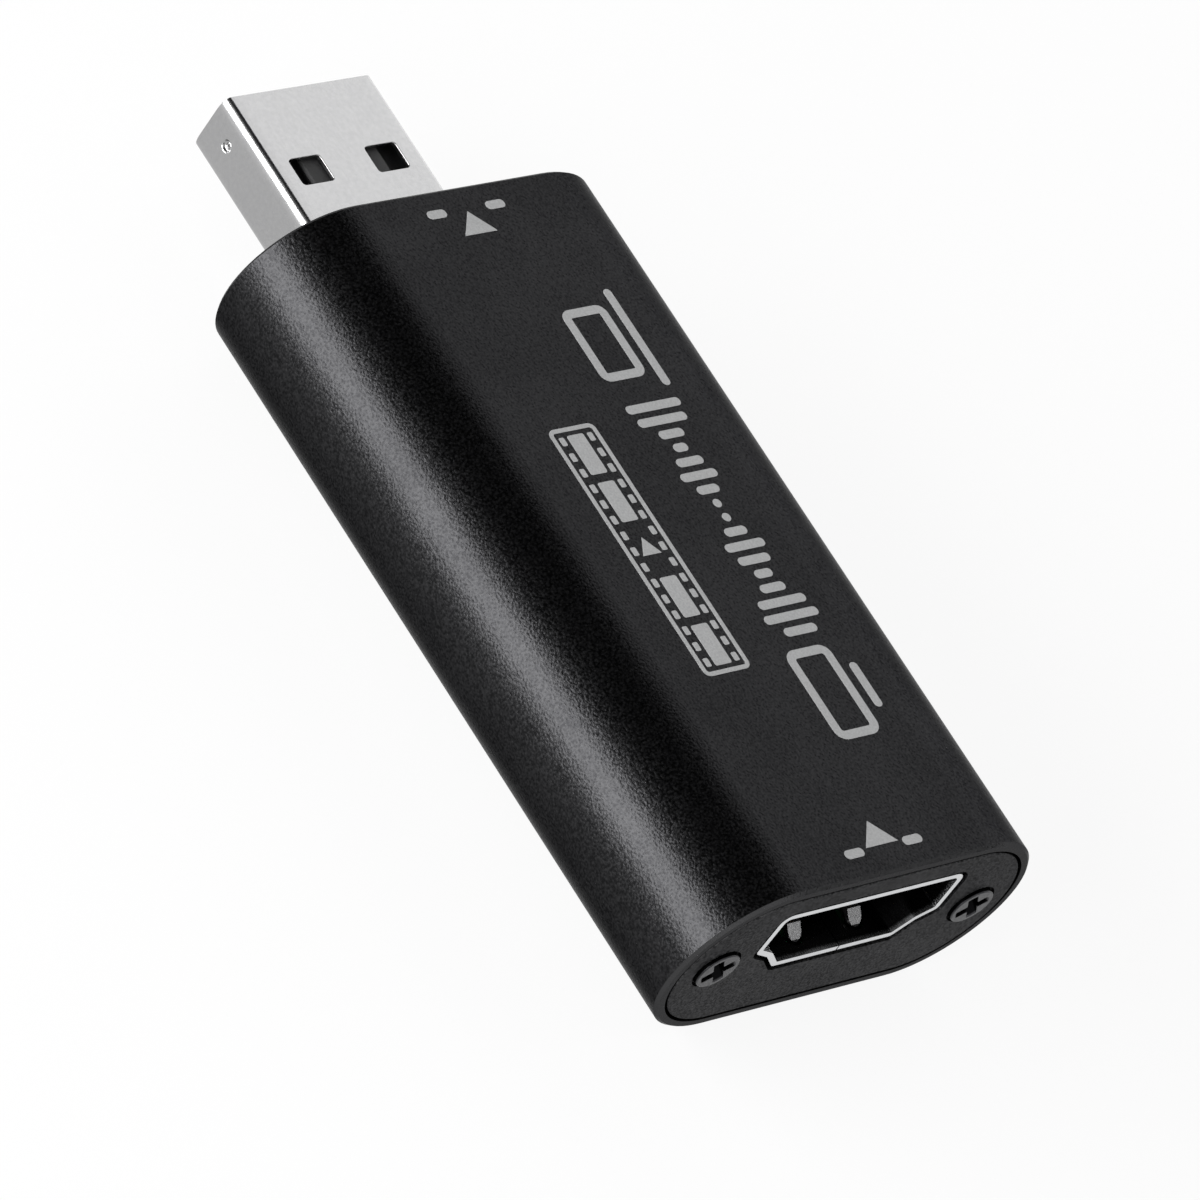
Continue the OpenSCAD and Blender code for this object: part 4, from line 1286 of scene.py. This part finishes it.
@dataclass(frozen=True)
class Studio:
    """Pale floor that curves up into a wall, soft lamps and the camera.

    Attributes:
        hub_r: Radius of the floor's innermost ring, in metres.
        floor_r: Radius of the flat floor, in metres.
        cove_r: Radius of the curve between floor and wall, in metres.
        wall_h: Height of the wall above the curve, in metres.
        ring_steps: Rings of the floor, and of the curve.
        turn_steps: Points in a ring.
        floor_drop: Gap between floor and object, in metres, so that their faces don't lie in one plane.
        floor_colour: Colour of floor and wall, in sRGB.
        fill: Share of plain white that the camera sees in the floor, so that the shadow stays faint.
        gloom: Colour of the dark room above the lamps, in sRGB.
        azimuth: Camera's bearing, from -Y towards +X, in degrees.
        elevation: Camera's height above the level, in degrees.
        roll: Turn of the camera about its view, in degrees.
        aim: Point that it looks at, in millimetres.
        distance: Distance from that point, in millimetres.
        lens: Focal length, in millimetres.
        sensor: Width of the sensor, in millimetres.
        clip: Nearest and farthest distance that it sees, in metres.
    """

    hub_r: float = 0.001
    floor_r: float = 0.9
    cove_r: float = 0.2
    wall_h: float = 0.05
    ring_steps: int = 12
    turn_steps: int = 96
    floor_drop: float = 0.00002
    floor_colour: str = "#f4f4f4"
    fill: float = 0.9
    gloom: str = "#202020"
    azimuth: float = 28.918
    elevation: float = 40.385
    roll: float = 37.321
    aim: tuple[float, float, float] = (-0.14, -0.95, 5.6)
    distance: float = 556.5
    lens: float = 282.93
    sensor: float = 36.0
    clip: Pair = (0.02, 20.0)

    def lamps(self) -> list[Softbox]:
        """Lamps of the studio: a strip for the sheen, a panel behind, a fill, and cards to mirror.

        Returns:
            The lamps.
        """
        return [
            Softbox("left_strip", towards=(-0.3, -0.924, 0.236), distance=0.6, width=1.0, height=0.36,
                    radiance=11.6),
            Softbox("back_panel", towards=(-0.3, 0.845, 0.445), distance=0.9, width=1.9, height=0.82,
                    radiance=1.8),
            Softbox("top_fill", towards=(0.0, -0.2, 1.0), distance=0.9, width=1.0, height=1.0,
                    radiance=0.4, mirrored=False),
            Softbox("front_card", towards=(0.75, -0.05, 0.66), distance=0.8, width=1.3, height=1.1,
                    radiance=1.0, lights=False),
            Softbox("roof_card", towards=(0.2, 0.0, 0.98), distance=0.9, width=0.8, height=0.6,
                    radiance=0.3, lights=False),
        ]

    def floor_material(self) -> bpy.types.Material:
        """White floor: diffuse for light, and mostly plain white for the camera and for reflections.

        Returns:
            Its material.
        """
        material = bare_material("White_paper_sweep")
        tree = material.node_tree
        ray = add_node(tree, "ShaderNodeLightPath").outputs
        seen = ray["Is Camera Ray"]
        for kind in ("Is Glossy Ray", "Is Transmission Ray"):
            either = add_node(tree, "ShaderNodeMath", {"operation": "MAXIMUM"}, {0: seen, 1: ray[kind]})
            seen = either.outputs["Value"]
        share = add_node(tree, "ShaderNodeMath", {"operation": "MULTIPLY"}, {0: seen, 1: self.fill})
        paper = add_node(tree, "ShaderNodeBsdfDiffuse", inputs={"Color": linear(self.floor_colour)})
        white = add_node(tree, "ShaderNodeEmission", inputs={"Strength": 1.0})
        mixed = add_node(tree, "ShaderNodeMixShader", inputs={
            0: share.outputs["Value"], 1: paper.outputs["BSDF"], 2: white.outputs["Emission"]})
        add_node(tree, "ShaderNodeOutputMaterial", inputs={"Surface": mixed.outputs["Shader"]})
        return material

    def sweep(self) -> None:
        """Floor and wall: a profile of radius and height, turned about Z in equal steps."""
        curve = np.radians(np.linspace(0, 90, self.ring_steps + 1))[1:]
        radius = np.concatenate([
            np.linspace(self.hub_r, self.floor_r, self.ring_steps),
            self.floor_r + self.cove_r * np.sin(curve), [self.floor_r + self.cove_r]])
        height = np.concatenate([
            np.zeros(self.ring_steps), self.cove_r * (1 - np.cos(curve)), [self.cove_r + self.wall_h]])
        turn = np.linspace(0, 2 * np.pi, self.turn_steps, endpoint=False)
        level = np.broadcast_to(height[:, None] - self.floor_drop, (len(height), len(turn)))
        rings = np.stack([radius[:, None] * np.cos(turn), radius[:, None] * np.sin(turn), level], axis=-1)
        surface = loft(rings)
        mesh = bpy.data.meshes.new("floor")
        mesh.from_pydata(surface.points.tolist(), [], surface.faces[:-1])
        mesh.shade_smooth()
        mesh.materials.append(self.floor_material())
        floor = put("floor", mesh)

    def room(self) -> None:
        """Dark room round the lamps."""
        world = bpy.data.worlds.new("dark_room")
        world.use_nodes = True
        world.node_tree.nodes["Background"].inputs["Color"].default_value = linear(self.gloom)
        bpy.context.scene.world = world

    def camera(self) -> None:
        """Camera at the photograph's viewing angle, turned about its own view by the roll."""
        data = bpy.data.cameras.new("camera")
        data.sensor_width = self.sensor
        data.lens = self.lens
        data.clip_start, data.clip_end = self.clip
        camera = put("camera", data)
        a, e = math.radians(self.azimuth), math.radians(self.elevation)
        back = Vector((math.sin(a) * math.cos(e), -math.cos(a) * math.cos(e), math.sin(e)))
        roll = Matrix.Rotation(math.radians(self.roll), 3, "Z")
        turned = (-back).to_track_quat("-Z", "Y").to_matrix() @ roll
        place = (Vector(self.aim) + back * self.distance) * MM
        camera.matrix_world = Matrix.Translation(place) @ turned.to_4x4()
        bpy.context.scene.camera = camera

    def build(self) -> None:
        """Set up floor, room, lamps, camera and colour."""
        self.camera()
        self.sweep()
        self.room()
        for lamp in self.lamps():
            lamp.build()
        bpy.context.scene.view_settings.view_transform = "Standard"


def main() -> None:
    """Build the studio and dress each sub-assembly."""
    logging.basicConfig(level=logging.INFO, format="%(message)s")
    for assembly in (Studio(), Housing(), Connectors(), Electronics(), PrintedMarks()):
        assembly.build()


if __name__ == "__main__":
    main()
